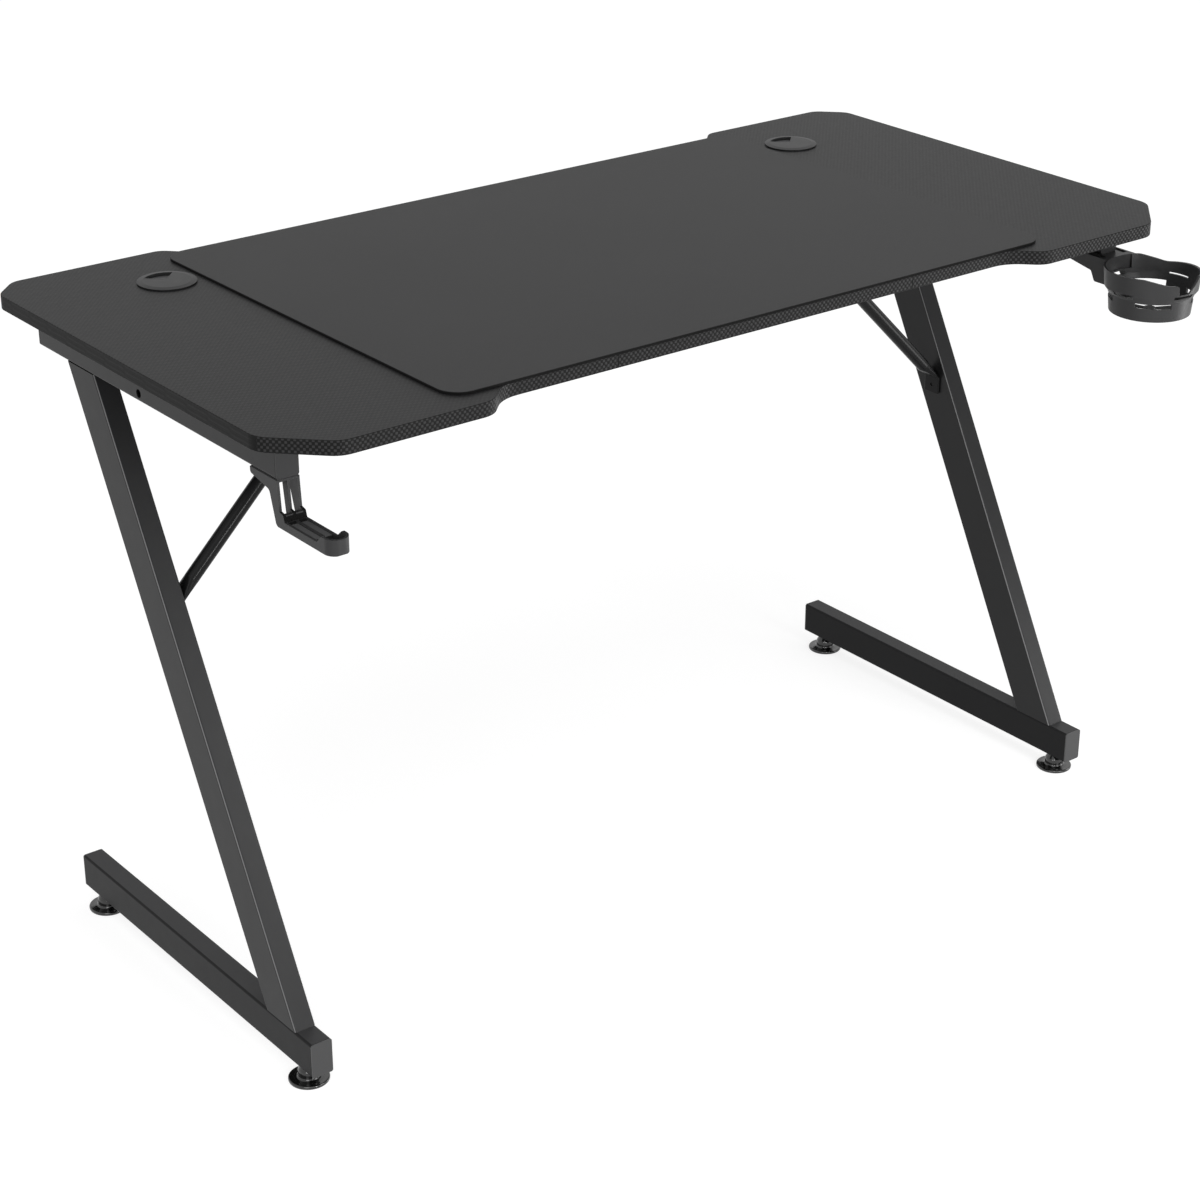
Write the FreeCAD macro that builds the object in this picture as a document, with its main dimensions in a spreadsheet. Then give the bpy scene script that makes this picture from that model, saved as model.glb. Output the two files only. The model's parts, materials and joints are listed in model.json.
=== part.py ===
import FreeCAD, Part
import math
import os
import re
import Sketcher
from FreeCAD import Placement, Rotation, Vector

# A gaming desk with Z-shaped legs: X to the right, Y to the rear, Z up, origin on the floor
# below the middle of the desktop. Driving sizes in millimetres, angles in degrees.
SIZES = {
    # Desktop of three boards
    "desk_length": 1200.0,
    "desk_depth": 600.0,
    "desk_height": 740.5,
    "board_thickness": 15.5,
    "board_edge_round": 0.8,
    "middle_width": 400.0,
    "seam_gap": 0.4,
    "front_corner_cut": 57.0,
    "front_corner_round": 28.0,
    "rear_corner_cut": 30.0,
    "rear_corner_round": 22.0,
    "recess_depth": 30.0,
    "front_recess_width": 714.0,
    "front_step_inner_round": 45.0,
    "front_step_outer_round": 27.0,
    "rear_recess_width": 754.0,
    "rear_step_round": 20.0,
    # Dowels and plates across the two seams
    "dowel_diameter": 8.0,
    "dowel_length": 40.0,
    "dowel_spacing": 200.0,
    "dowel_end_gap": 1.0,
    "seam_plate_length": 80.0,
    "seam_plate_width": 30.0,
    "seam_plate_thickness": 2.0,
    "seam_plate_round": 4.0,
    "seam_plate_spread": 330.0,
    "seam_screw_spacing": 24.0,
    "seam_screw_diameter": 4.0,
    "seam_screw_length": 12.0,
    "seam_screw_head": 7.5,
    "seam_screw_head_height": 2.2,
    "seam_screw_socket": 3.0,
    # Mat laid on the desktop
    "mat_side_margin": 200.0,
    "mat_end_margin": 25.0,
    "mat_thickness": 3.0,
    "mat_round": 25.0,
    "mat_left_shift": 2.0,
    "mat_rear_shift": 1.5,
    # Cable grommets
    "grommet_inset": 160.0,
    "grommet_setback": 101.5,
    "grommet_hole": 56.0,
    "grommet_flange": 61.0,
    "grommet_lip": 0.9,
    "grommet_sleeve_wall": 1.6,
    "grommet_sleeve_depth": 18.0,
    "shutter_thickness": 2.0,
    "cap_diameter": 64.0,
    "cap_rise": 2.6,
    "cap_edge": 0.5,
    "cap_bevel": 6.0,
    "cap_plug_depth": 1.0,
    "cap_window_radius": 25.0,
    "cap_window_angle": 90.0,
    "cap_window_offset": 1.4,
    "cap_window_round": 3.0,
    "cap_pin_diameter": 3.2,
    "cap_pin_head": 4.6,
    "cap_pin_head_height": 1.4,
    "cap_pin_slit": 0.6,
    # Leg frames of rectangular tube
    "leg_inset": 30.0,
    "tube_width": 25.0,
    "tube_wall": 1.5,
    "tube_round": 2.5,
    "rail_height": 40.0,
    "rail_length": 473.0,
    "rail_setback": 73.0,
    "foot_height": 40.0,
    "foot_length": 490.0,
    "foot_setback": 65.5,
    "post_depth": 50.0,
    "post_top_reach": 384.0,
    "post_foot_reach": 59.0,
    "end_cap_thickness": 2.0,
    "end_cap_groove": 0.5,
    "end_plug_depth": 10.0,
    "end_plug_wall": 1.5,
    # Crossbeam between the rails
    "crossbeam_width": 25.0,
    "crossbeam_height": 40.0,
    "crossbeam_reach": 260.0,
    "end_plate_thickness": 3.0,
    "frame_bolt_spacing": 23.0,
    "frame_bolt_diameter": 5.0,
    "frame_bolt_length": 12.0,
    "frame_bolt_head": 8.5,
    "frame_bolt_head_height": 5.0,
    "frame_bolt_socket": 4.0,
    # Braces from the posts to the crossbeam
    "brace_diameter": 16.0,
    "brace_wall": 1.2,
    "brace_bend_height": 460.5,
    "brace_bend_reach": 225.0,
    "tongue_width": 25.0,
    "tongue_thickness": 3.0,
    "tongue_length": 20.0,
    "tongue_hole_reach": 11.0,
    "flatten_length": 26.0,
    "brace_screw_diameter": 5.0,
    "brace_screw_length": 14.0,
    "brace_screw_head": 9.4,
    "brace_screw_head_height": 2.4,
    "brace_screw_socket": 4.0,
    # Levelling feet
    "leveller_height": 20.0,
    "leveller_inset": 28.5,
    "pad_diameter": 44.0,
    "pad_lip_height": 4.0,
    "pad_lip_width": 5.0,
    "pad_dish_height": 4.6,
    "pad_edge_round": 1.5,
    "boss_diameter": 23.0,
    "boss_top_diameter": 14.0,
    "boss_shoulder_height": 13.0,
    "boss_fillet": 2.5,
    "boss_dome": 5.0,
    "stud_diameter": 8.0,
    "stud_reach": 30.0,
    "stud_sunk": 14.0,
    "nut_size": 17.0,
    "nut_thickness": 6.5,
    # Bolts that hold the desktop on the rails
    "desktop_bolt_diameter": 6.0,
    "desktop_bolt_head": 12.0,
    "desktop_bolt_head_height": 3.3,
    "desktop_bolt_socket": 4.0,
    "desktop_bolt_gap": 29.0,
    "insert_diameter": 9.0,
    "insert_length": 11.0,
    # Headset hook under the front of the left rail
    "hook_plate_length": 48.0,
    "hook_plate_edge": 7.0,
    "hook_plate_root": 14.0,
    "hook_top_plate": 3.0,
    "hook_top_gap": 0.8,
    "hook_web_root": 14.5,
    "hook_web_foot": 4.5,
    "hook_web_round": 5.0,
    "hook_drop": 48.0,
    "hook_reach": 91.0,
    "hook_arm_height": 8.2,
    "hook_corner_round": 1.6,
    "hook_heel_length": 10.4,
    "hook_heel_height": 15.0,
    "hook_heel_face": 8.4,
    "hook_heel_wall": 2.0,
    "hook_heel_fillet": 8.0,
    "hook_lip_height": 16.2,
    "hook_lip_length": 17.0,
    "hook_lip_slope": 8.6,
    "hook_lip_round": 3.0,
    "hook_side_rim": 2.8,
    "hook_middle_rib": 2.8,
    "hook_rib_root": 9.3,
    "hook_rib_foot": 4.3,
    "hook_cell_floor": 9.0,
    "hook_panel_end": 58.0,
    "hook_panel_drop": 1.6,
    "hook_pocket_floor": 3.0,
    "accessory_screw_diameter": 4.0,
    "accessory_screw_length": 10.0,
    "accessory_screw_head": 7.0,
    "accessory_screw_head_height": 2.6,
    "accessory_screw_socket": 2.5,
    "accessory_screw_inset": 16.0,
    # Cup holder under the front of the right rail
    "cup_reach": 68.3,
    "cup_top_diameter": 103.0,
    "cup_foot_diameter": 93.2,
    "cup_wall": 2.5,
    "cup_height": 51.0,
    "cup_floor": 3.0,
    "cup_turn": 45.0,
    "cup_bulge": 4.2,
    "cup_waist": 0.2,
    "bulge_depth": 22.0,
    "bulge_flare": 6.0,
    "floor_rim": 4.0,
    "floor_hub": 14.0,
    "floor_window_angle": 58.0,
    "floor_turn": 4.0,
    "bulge_slot_drop": 20.7,
    "bulge_slot_height": 4.5,
    "bulge_slot_angle": 31.0,
    "bulge_slot_spread_angle": 95.0,
    "rear_bulge_slot_lift": 2.7,
    "left_bulge_slot_turn": 7.5,
    "right_bulge_slot_lift": 4.3,
    "right_bulge_slot_height": 2.1,
    "wall_slot_drop": 29.6,
    "wall_slot_height": 6.0,
    "wall_slot_angle": 51.0,
    "rear_wall_slot_lift": 1.0,
    "rim_dip": 7.6,
    "rim_dip_start": 12.0,
    "rim_dip_lead": 15.0,
    "rim_dip_lead_rise": 0.4,
    "rim_dip_low": 19.0,
    "rim_dip_end": 62.0,
    "rim_dip_end_drop": 1.5,
    "rim_dip_round": 25.0,
    "notch_depth": 20.0,
    "notch_left": 10.0,
    "notch_right": 3.0,
    "notch_ramp": 24.0,
    "notch_lean": 2.0,
    "notch_shoulder": 10.0,
    "notch_shoulder_drop": 8.5,
    "notch_shoulder_rise": 3.5,
    "notch_round": 2.5,
    "bracket_width": 47.0,
    "bracket_length": 47.0,
    "bracket_plate": 3.0,
    "bracket_wall": 2.5,
    "bracket_edge": 10.0,
    "bracket_depth": 29.4,
    "bracket_step": 17.6,
    "bracket_step_reach": 4.0,
    "bracket_step_slope": 6.0,
    "bracket_round": 2.5,
    "bracket_lip": 2.5,
    "bracket_lip_height": 1.5,
    "bracket_lip_gap": 1.0,
    "bracket_recess_depth": 16.0,
    "bracket_recess_reach": 0.9,
    "bracket_recess_angle": 42.0,
    "bracket_recess_turn": 91.0,
    # Clearances, all radial or on each side, and the overrun of every cut
    "turn_clearance": 0.3,
    "pin_clearance": 0.08,
    "thread_clearance": 0.05,
    "bolt_clearance": 0.25,
    "access_clearance": 0.35,
    "fit_clearance": 0.1,
    "overrun": 5.0,
}

# Heights and places that several pieces share, as formulas in the sizes
BOARD_BOTTOM = "(desk_height - board_thickness)"
RAIL_BOTTOM = "(desk_height - board_thickness - rail_height)"
FOOT_TOP = "(leveller_height + foot_height)"
LEG_OUTER = "(desk_length / 2 - leg_inset)"
LEG_MIDDLE = "(desk_length / 2 - leg_inset - tube_width / 2)"
LEG_INNER = "(desk_length / 2 - leg_inset - tube_width)"
RAIL_FRONT = "(rail_setback - desk_depth / 2)"
RAIL_REAR = "(rail_setback - desk_depth / 2 + rail_length)"
FOOT_FRONT = "(foot_setback - desk_depth / 2)"
FOOT_REAR = "(foot_setback - desk_depth / 2 + foot_length)"
POST_TOP_Y = f"({RAIL_FRONT} + post_top_reach)"
POST_FOOT_Y = f"({FOOT_FRONT} + post_foot_reach)"
POST_RISE = f"({RAIL_BOTTOM} - {FOOT_TOP})"
POST_RUN = f"({POST_TOP_Y} - {POST_FOOT_Y})"
POST_STRETCH = f"(sqrt({POST_RISE}^2 + {POST_RUN}^2) / {POST_RISE})"
GROMMET_X = "(desk_length / 2 - grommet_inset)"
GROMMET_Y = "(desk_depth / 2 - grommet_setback)"
CROSSBEAM_Y = f"({RAIL_FRONT} + crossbeam_reach)"
CROSSBEAM_MIDDLE = f"({BOARD_BOTTOM} - crossbeam_height / 2)"
CROSSBEAM_BOTTOM = f"({BOARD_BOTTOM} - crossbeam_height)"
HOOK_SLOT = "((tube_width - 2 * hook_side_rim - hook_middle_rib) / 2)"
ACCESSORY_SCREW_Y = f"({RAIL_FRONT} + hook_plate_length - accessory_screw_inset)"
ACCESSORY_SCREW_X = f"({HOOK_SLOT} + hook_middle_rib) / 2"
CUP_TAPER = "((cup_top_diameter - cup_foot_diameter) / 2 / cup_height)"
BULGE_RADIUS = "(cup_top_diameter / 2 + cup_bulge)"
CUP_CORE = "(cup_foot_diameter / 2 - 2 * cup_wall)"

SIDES = {"left": "-1", "right": "1"}
ENDS = ("front", "rear")
FULL_TURN = 360.0
HALF_TURN = 180.0
QUARTER_TURN = 90.0
CUP_SIDES = 4
CUP_REAR_SIDE = 0
FLOOR_WINDOWS = 5

doc = FreeCAD.newDocument("gaming_desk")
sheet = doc.addObject("Spreadsheet::Sheet", "Sizes")
for row, (alias, size) in enumerate(SIZES.items(), start=1):
    cell = f"A{row}"
    sheet.set(cell, str(size))
    sheet.setAlias(cell, alias)
doc.recompute()

WORD = re.compile(r"[A-Za-z_]\w*")
SUB_PARTS = {}


def formula(text):
    """Write a formula in the sizes' names as an expression of the sheet."""
    return WORD.sub(lambda word: "Sizes." + word[0] if word[0] in SIZES else word[0], text)


def worth(text):
    """Give the number that a formula stands for."""
    return float(sheet.evalExpression(formula(text)))


def bind(item, **formulas):
    """Tie an object's properties to formulas in the sizes."""
    for name, text in formulas.items():
        item.setExpression(name, formula(text))
    return item


def place(item, x="0", y="0", z="0"):
    """Tie an object's position to formulas in the sizes."""
    for axis, text in zip("xyz", (x, y, z)):
        item.setExpression(f"Placement.Base.{axis}", formula(text))
    return item


def sub_part(label, item):
    """Name an object as one sub-part of the desk."""
    item.Label = label
    SUB_PARTS[label] = item
    return item


# Sketches

PLANE_ROLES = {"top": "XY_Plane", "front": "XZ_Plane", "side": "YZ_Plane"}


def sketch_in(body, plane, offset="0"):
    """Start a sketch on one of a body's origin planes, moved along the plane's normal."""
    sketch = body.newObject("Sketcher::SketchObject", "outline")
    roles = {feature.Role: feature for feature in body.Origin.OriginFeatures}
    sketch.AttachmentSupport = [(roles[PLANE_ROLES[plane]], "")]
    sketch.MapMode = "FlatFace"
    return bind(sketch, **{"AttachmentOffset.Base.z": offset})


def pinned(sketch, geometry, end, corner):
    """Give the constraints that hold a point at a corner, each with its formula."""
    x, y = corner[:2]
    return [
        (Sketcher.Constraint("DistanceX", -1, 1, geometry, end, worth(x)), x),
        (Sketcher.Constraint("DistanceY", -1, 1, geometry, end, worth(y)), y),
    ]


def constrain(sketch, rules):
    """Add constraints to a sketch and tie their values to formulas where they have one."""
    numbers = sketch.addConstraint([rule for rule, text in rules])
    for number, (rule, text) in zip(numbers, rules):
        if text:
            bind(sketch, **{f"Constraints[{number}]": text})


def outline(sketch, corners):
    """Draw a closed outline through corners (x, y), or (x, y, radius) where one is rounded."""
    points = [Vector(worth(corner[0]), worth(corner[1]), 0) for corner in corners]
    area = sum(a.x * b.y - b.x * a.y for a, b in zip(points, points[1:] + points[:1]))
    if area < 0:
        points.reverse()
        corners = list(reversed(corners))
    count = len(corners)
    rounds = []
    for index, corner in enumerate(corners):
        point = points[index]
        inward = (point - points[index - 1]).normalize()
        outward = (points[(index + 1) % count] - point).normalize()
        if len(corner) == 2:
            rounds.append((point, point, None, None, True))
            continue
        radius = worth(corner[2])
        turn = math.atan2(inward.cross(outward).z, inward.dot(outward))
        reach = radius * math.tan(abs(turn) / 2)
        begin, end = point - inward * reach, point + outward * reach
        normal = Vector(-inward.y, inward.x, 0) * math.copysign(1, turn)
        rounds.append((begin, end, begin + normal * radius, radius, turn > 0))
    first = sketch.GeometryCount
    for index in range(count):
        sketch.addGeometry(Part.LineSegment(rounds[index][1], rounds[(index + 1) % count][0]), False)
    rules = []
    for index, corner in enumerate(corners):
        before, after = first + (index - 1) % count, first + index
        begin, end, centre, radius, left_turn = rounds[index]
        if radius is None:
            rules.append((Sketcher.Constraint("Coincident", before, 2, after, 1), None))
            rules += pinned(sketch, after, 1, corner)
            continue
        start, stop = (begin, end) if left_turn else (end, begin)
        angles = [math.atan2(point.y - centre.y, point.x - centre.x) for point in (start, stop)]
        circle = Part.Circle(centre, Vector(0, 0, 1), radius)
        arc = sketch.addGeometry(Part.ArcOfCircle(circle, *angles), False)
        tip = sketch.addGeometry(Part.Point(points[index]), True)
        near, far = (1, 2) if left_turn else (2, 1)
        rules += pinned(sketch, tip, 1, corner)
        rules += [
            (Sketcher.Constraint("PointOnObject", tip, 1, before), None),
            (Sketcher.Constraint("PointOnObject", tip, 1, after), None),
            (Sketcher.Constraint("Tangent", before, 2, arc, near), None),
            (Sketcher.Constraint("Tangent", arc, far, after, 1), None),
            (Sketcher.Constraint("Radius", arc, radius), corner[2]),
        ]
    constrain(sketch, rules)
    return sketch


def rectangle(x, y, width, height, radius=None):
    """Give the corners of a rectangle about a middle point, rounded or sharp."""
    corners = []
    for across, up in (("-1", "-1"), ("1", "-1"), ("1", "1"), ("-1", "1")):
        corner = (f"{x} + {across} * ({width}) / 2", f"{y} + {up} * ({height}) / 2")
        corners.append(corner + (radius,) if radius else corner)
    return corners


# Solids

TURNS = {
    "+x": Rotation(Vector(0, 1, 0), 90),
    "-x": Rotation(Vector(0, 1, 0), -90),
    "+y": Rotation(Vector(1, 0, 0), -90),
    "-y": Rotation(Vector(1, 0, 0), 90),
    "+z": Rotation(),
    "-z": Rotation(Vector(1, 0, 0), 180),
}


def new_body(name):
    """Start a body."""
    return doc.addObject("PartDesign::Body", name)


def padded(name, plane, offset, length, *outlines, back=False):
    """Pad one sketch of outlines, from an offset plane, into a body."""
    body = new_body(name)
    sketch = sketch_in(body, plane, offset)
    for corners in outlines:
        outline(sketch, corners)
    pad = body.newObject("PartDesign::Pad", "pad")
    pad.Profile = sketch
    pad.Reversed = back
    bind(pad, Length=length)
    return body


def revolved(name, corners):
    """Turn an outline of (radius, height) corners about the Z axis into a body."""
    body = new_body(name)
    sketch = outline(sketch_in(body, "front"), corners)
    turned = body.newObject("PartDesign::Revolution", "turned")
    turned.Profile = sketch
    turned.ReferenceAxis = (sketch, ["V_Axis"])
    turned.Angle = FULL_TURN
    return body


def block(x, y, z, length, width, height):
    """Make a box from its lowest corner and its sizes along X, Y and Z."""
    item = doc.addObject("Part::Box", "block")
    bind(item, Length=length, Width=width, Height=height)
    return place(item, x, y, z)


def rod(x, y, z, along, diameter, length):
    """Make a round rod that starts at a point and runs along an axis."""
    item = doc.addObject("Part::Cylinder", "rod")
    item.Placement = Placement(Vector(), TURNS[along])
    bind(item, Radius=f"({diameter}) / 2", Height=length)
    return place(item, x, y, z)


def sector(radius, bottom, height, start, sweep, top_radius=None):
    """Make a wedge of a cylinder, or of a cone, about the Z axis."""
    item = doc.addObject("Part::Cone" if top_radius else "Part::Cylinder", "sector")
    if top_radius:
        bind(item, Radius1=radius, Radius2=top_radius)
    else:
        bind(item, Radius=radius)
    bind(item, Height=height, Angle=sweep)
    bind(item, **{"Placement.Rotation.Angle": start})
    return place(item, z=bottom)


def compound(items, label="group"):
    """Gather objects into one group of solids."""
    item = doc.addObject("Part::Compound", label)
    item.Links = items
    return item


def fused(items):
    """Join objects into one solid."""
    item = doc.addObject("Part::MultiFuse", "joined")
    item.Shapes = items
    return item


def cut(base, tools):
    """Take tools away from a solid."""
    item = doc.addObject("Part::Cut", "cut")
    item.Base = base
    item.Tool = fused(tools) if len(tools) > 1 else tools[0]
    return item


def common(first, second):
    """Keep what two solids share."""
    item = doc.addObject("Part::MultiCommon", "shared")
    item.Shapes = [first, second]
    return item


def screw(kind, x, y, z, along, length, sunk=False):
    """Make one socket screw of a named kind, its head seated at a point, pointing along an axis."""
    head, shank = f"{kind}_head", f"{kind}_diameter"
    depth = f"{kind}_head_height"
    if sunk:
        seat = doc.addObject("Part::Cone", "head")
        bind(seat, Radius1=f"{head} / 2", Radius2=f"{shank} / 2", Height=depth)
    else:
        seat = rod("0", "0", f"-{depth}", "+z", head, depth)
    stem = rod("0", "0", "0", "+z", shank, length)
    socket = doc.addObject("Part::Prism", "socket")
    socket.Polygon = 6
    bind(socket, Circumradius=f"{kind}_socket / sqrt(3)", Height=f"{depth} / 2 + overrun")
    place(socket, z="-overrun" if sunk else f"-{depth} - overrun")
    item = cut(fused([seat, stem]), [socket])
    item.Placement = Placement(Vector(), TURNS[along])
    return place(item, x, y, z)


# Desktop

def outer_edges(body, seam):
    """Name the edges around the top and bottom of a board, leaving out those along its seams."""
    heights = (worth("desk_height"), worth(BOARD_BOTTOM))
    names = []
    for number, edge in enumerate(body.Shape.Edges, start=1):
        box, near = edge.BoundBox, worth("fit_clearance")
        level = any(max(abs(box.ZMin - height), abs(box.ZMax - height)) < near for height in heights)
        on_seam = box.XLength < near and abs(abs(box.XMin) - seam) < near
        if level and not on_seam:
            names.append(f"Edge{number}")
    return names


def board(label, corners, holes, seam):
    """Make one board of the desktop with its holes and with eased edges, but for those on a seam."""
    body = padded(f"{label}_board", "top", BOARD_BOTTOM, "board_thickness", corners)
    doc.recompute()
    pad, names = body.Tip, outer_edges(body, worth(seam))
    easing = body.newObject("PartDesign::Fillet", "easing")
    easing.Base = (pad, names)
    bind(easing, Radius="board_edge_round")
    return sub_part(label, cut(body, holes))


def wing_corners(side):
    """Give the outline of a left or right board, with its cut corners and recesses."""
    seam = f"{side} * middle_width / 2"
    front, rear = "-desk_depth / 2", "desk_depth / 2"
    corners = [(seam, f"{front} + recess_depth")]
    for half, share, step in (("-1", "0", "inner"), ("1", "1", "outer")):
        x = f"{side} * (front_recess_width / 2 + {half} * recess_depth / 2)"
        corners.append((x, f"{front} + (1 - {share}) * recess_depth", f"front_step_{step}_round"))
    corners += [
        (f"{side} * (desk_length / 2 - front_corner_cut)", front, "front_corner_round"),
        (f"{side} * desk_length / 2", f"{front} + front_corner_cut", "front_corner_round"),
        (f"{side} * desk_length / 2", f"{rear} - rear_corner_cut", "rear_corner_round"),
        (f"{side} * (desk_length / 2 - rear_corner_cut)", rear, "rear_corner_round"),
    ]
    for half, share in (("1", "1"), ("-1", "0")):
        x = f"{side} * (rear_recess_width / 2 + {half} * recess_depth / 2)"
        corners.append((x, f"{rear} - (1 - {share}) * recess_depth", "rear_step_round"))
    return corners + [(seam, f"{rear} - recess_depth")]


DOWEL_PLACES = [f"{step} * dowel_spacing" for step in (-1, 0, 1)]
BOARD_MIDDLE = "(desk_height - board_thickness / 2)"
PLATE_PLACES = {"front": "-seam_plate_spread / 2", "rear": "seam_plate_spread / 2"}
PLATE_SCREW_SHARES = (-0.5, 0.5)
DESKTOP_BOLT_PLACES = (
    f"({RAIL_FRONT} + hook_plate_length + desktop_bolt_gap)",
    f"({CROSSBEAM_Y} - crossbeam_width / 2 - desktop_bolt_gap)",
    f"(({POST_TOP_Y} + post_depth * {POST_STRETCH} / 2 + {RAIL_REAR}) / 2)",
)


def dowel(seam, y, extra="0"):
    """Make a dowel across a seam, longer and fatter by a clearance where it is a hole."""
    return rod(f"{seam} - dowel_length / 2 - {extra}", y, BOARD_MIDDLE, "+x",
               f"dowel_diameter + 2 * min({extra}; thread_clearance)", f"dowel_length + 2 * {extra}")


def plate_screws(seam, y):
    """Give the places of the four screws in one seam plate, two in each board."""
    places = []
    for side in ("-1", "1"):
        for share in PLATE_SCREW_SHARES:
            reach = "seam_plate_length / 2 - seam_plate_width / 4"
            if share > 0:
                reach = f"{reach} - seam_screw_spacing"
            places.append((f"{seam} + {side} * ({reach})", f"{y} + {share} * seam_plate_width / 2"))
    return places


def build_desktop():
    """Make the three boards, what joins them, and the bolts' inserts."""
    dowels, screws = [], []
    seams = {side: f"{sign} * middle_width / 2" for side, sign in SIDES.items()}
    holes = {"left": [], "right": [], "middle": []}
    for side, seam in seams.items():
        for y in DOWEL_PLACES:
            dowels.append(dowel(seam, y))
            holes[side].append(dowel(seam, y, "dowel_end_gap"))
            holes["middle"].append(dowel(seam, y, "dowel_end_gap"))
        for end, y in PLATE_PLACES.items():
            below = f"{BOARD_BOTTOM} - seam_plate_thickness"
            plate = padded(f"{side}_seam_{end}_blank", "top", below, "seam_plate_thickness",
                           rectangle(seam, y, "seam_plate_length", "seam_plate_width", "seam_plate_round"))
            drills = []
            for x, screw_y in plate_screws(seam, y):
                screws.append(screw("seam_screw", x, screw_y, below, "+z", "seam_screw_length"))
                drills.append(rod(x, screw_y, f"{below} - overrun", "+z",
                                  "seam_screw_diameter + 2 * bolt_clearance",
                                  "seam_plate_thickness + 2 * overrun"))
                for owner in (side, "middle"):
                    holes[owner].append(rod(x, screw_y, f"{below} - overrun", "+z",
                                            "seam_screw_diameter + 2 * thread_clearance",
                                            "seam_screw_length + dowel_end_gap + overrun"))
            sub_part(f"{side}_seam_{end}_plate", cut(plate, drills))
    inserts = []
    for side, sign in SIDES.items():
        holes[side].append(rod(f"{sign} * {GROMMET_X}", GROMMET_Y, f"{BOARD_BOTTOM} - overrun",
                               "+z", "grommet_hole", "board_thickness + 2 * overrun"))
        for y in DESKTOP_BOLT_PLACES:
            x = f"{sign} * {LEG_MIDDLE}"
            body = rod(x, y, BOARD_BOTTOM, "+z", "insert_diameter", "insert_length")
            bore = rod(x, y, f"{BOARD_BOTTOM} - overrun", "+z",
                       "desktop_bolt_diameter + 2 * thread_clearance", "insert_length + 2 * overrun")
            inserts.append(cut(body, [bore]))
            holes[side].append(rod(x, y, f"{BOARD_BOTTOM} - overrun", "+z",
                                   "insert_diameter + 2 * thread_clearance",
                                   "insert_length + dowel_end_gap + overrun"))
    for side, sign in SIDES.items():
        board(f"desktop_{side}_panel", wing_corners(sign), holes[side], "middle_width / 2")
    middle = rectangle("0", "0", "middle_width - 2 * seam_gap", "desk_depth - 2 * recess_depth")
    board("desktop_middle_panel", middle, holes["middle"], "middle_width / 2 - seam_gap")
    sub_part("panel_dowels", compound(dowels))
    sub_part("seam_plate_screws", compound(screws))
    sub_part("desktop_inserts", compound(inserts))


def build_mat():
    """Make the mat that lies on the desktop."""
    corners = rectangle("-mat_left_shift", "mat_rear_shift", "desk_length - 2 * mat_side_margin",
                        "desk_depth - 2 * mat_end_margin", "mat_round")
    sub_part("mouse_mat", padded("mouse_mat", "top", "desk_height", "mat_thickness", corners))


def grommet_window(bottom, height, turn):
    """Make a quarter round with an eased tip, to cut a grommet's window, turned about the Z axis."""
    far = "(cap_window_offset + cap_window_radius)"
    half = "(cap_window_radius * tan(cap_window_angle / 2))"
    wedge = padded("window_wedge", "top", bottom, height, [
        ("0", "cap_window_offset", "cap_window_round"),
        (half, far),
        (f"-{half}", far),
    ])
    disc = rod("0", "0", bottom, "+z", "2 * cap_window_radius", height)
    return bind(common(wedge, disc), **{"Placement.Rotation.Angle": turn})


def build_grommets():
    """Make each grommet's liner, with its half-closed shutter, and the cap that turns on it."""
    hole = "(grommet_hole / 2 - fit_clearance)"
    inner = f"({hole} - grommet_sleeve_wall)"
    flange, rim = "grommet_flange / 2", "cap_diameter / 2"
    shutter = "(-cap_plug_depth - turn_clearance)"
    below = f"({shutter} - shutter_thickness)"
    bore = "(cap_pin_diameter / 2 + pin_clearance)"
    under = "(grommet_lip + turn_clearance)"
    head = f"({below} - turn_clearance)"
    for side, sign in SIDES.items():
        where = (f"{sign} * {GROMMET_X}", GROMMET_Y, "desk_height")
        liner = revolved(f"grommet_liner_{side}_sleeve", [
            (bore, below),
            (inner, below),
            (inner, "-grommet_sleeve_depth"),
            (hole, "-grommet_sleeve_depth"),
            (hole, "0"),
            (flange, "0"),
            (flange, "grommet_lip"),
            (inner, "grommet_lip"),
            (inner, shutter),
            (bore, shutter),
        ])
        way = grommet_window(f"{below} - overrun", "shutter_thickness + 2 * overrun", f"{HALF_TURN}")
        sub_part(f"grommet_liner_{side}", place(cut(liner, [way]), *where))
        cap = revolved(f"grommet_cap_{side}_disc", [
            ("0", f"{head} - cap_pin_head_height"),
            ("cap_pin_diameter / 2", f"{head} - cap_pin_head_height"),
            ("cap_pin_head / 2", head),
            ("cap_pin_diameter / 2", head),
            ("cap_pin_diameter / 2", "-cap_plug_depth"),
            (f"{inner} - turn_clearance", "-cap_plug_depth"),
            (f"{inner} - turn_clearance", under),
            (rim, under),
            (rim, f"{under} + cap_edge"),
            (f"{rim} - cap_bevel", "cap_rise"),
            ("0", "cap_rise"),
        ])
        window = grommet_window("-cap_plug_depth - overrun", "cap_plug_depth + cap_rise + 2 * overrun", "0")
        slit = block("-cap_pin_slit / 2", "-cap_pin_head", f"{head} - cap_pin_head_height - overrun",
                     "cap_pin_slit", "2 * cap_pin_head",
                     f"cap_pin_head_height + overrun + {shutter} - {head}")
        sub_part(f"grommet_cap_{side}", place(cut(cap, [window, slit]), *where))


# Leg frames

INNER_ROUND = "max(tube_round - tube_wall; tube_wall / 4)"


def tube_section(x, y, width, height):
    """Give the outer and inner outlines of a rectangular tube's section."""
    hollow = rectangle(x, y, f"{width} - 2 * tube_wall", f"{height} - 2 * tube_wall", INNER_ROUND)
    return [rectangle(x, y, width, height, "tube_round"), hollow]


def level_tube(name, x, z, front, length, height):
    """Make a tube that lies along Y between its end caps' flanges."""
    start = f"-({front} + end_cap_thickness)"
    return padded(name, "front", start, f"{length} - 2 * end_cap_thickness",
                  *tube_section(x, z, "tube_width", height), back=True)


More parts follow.
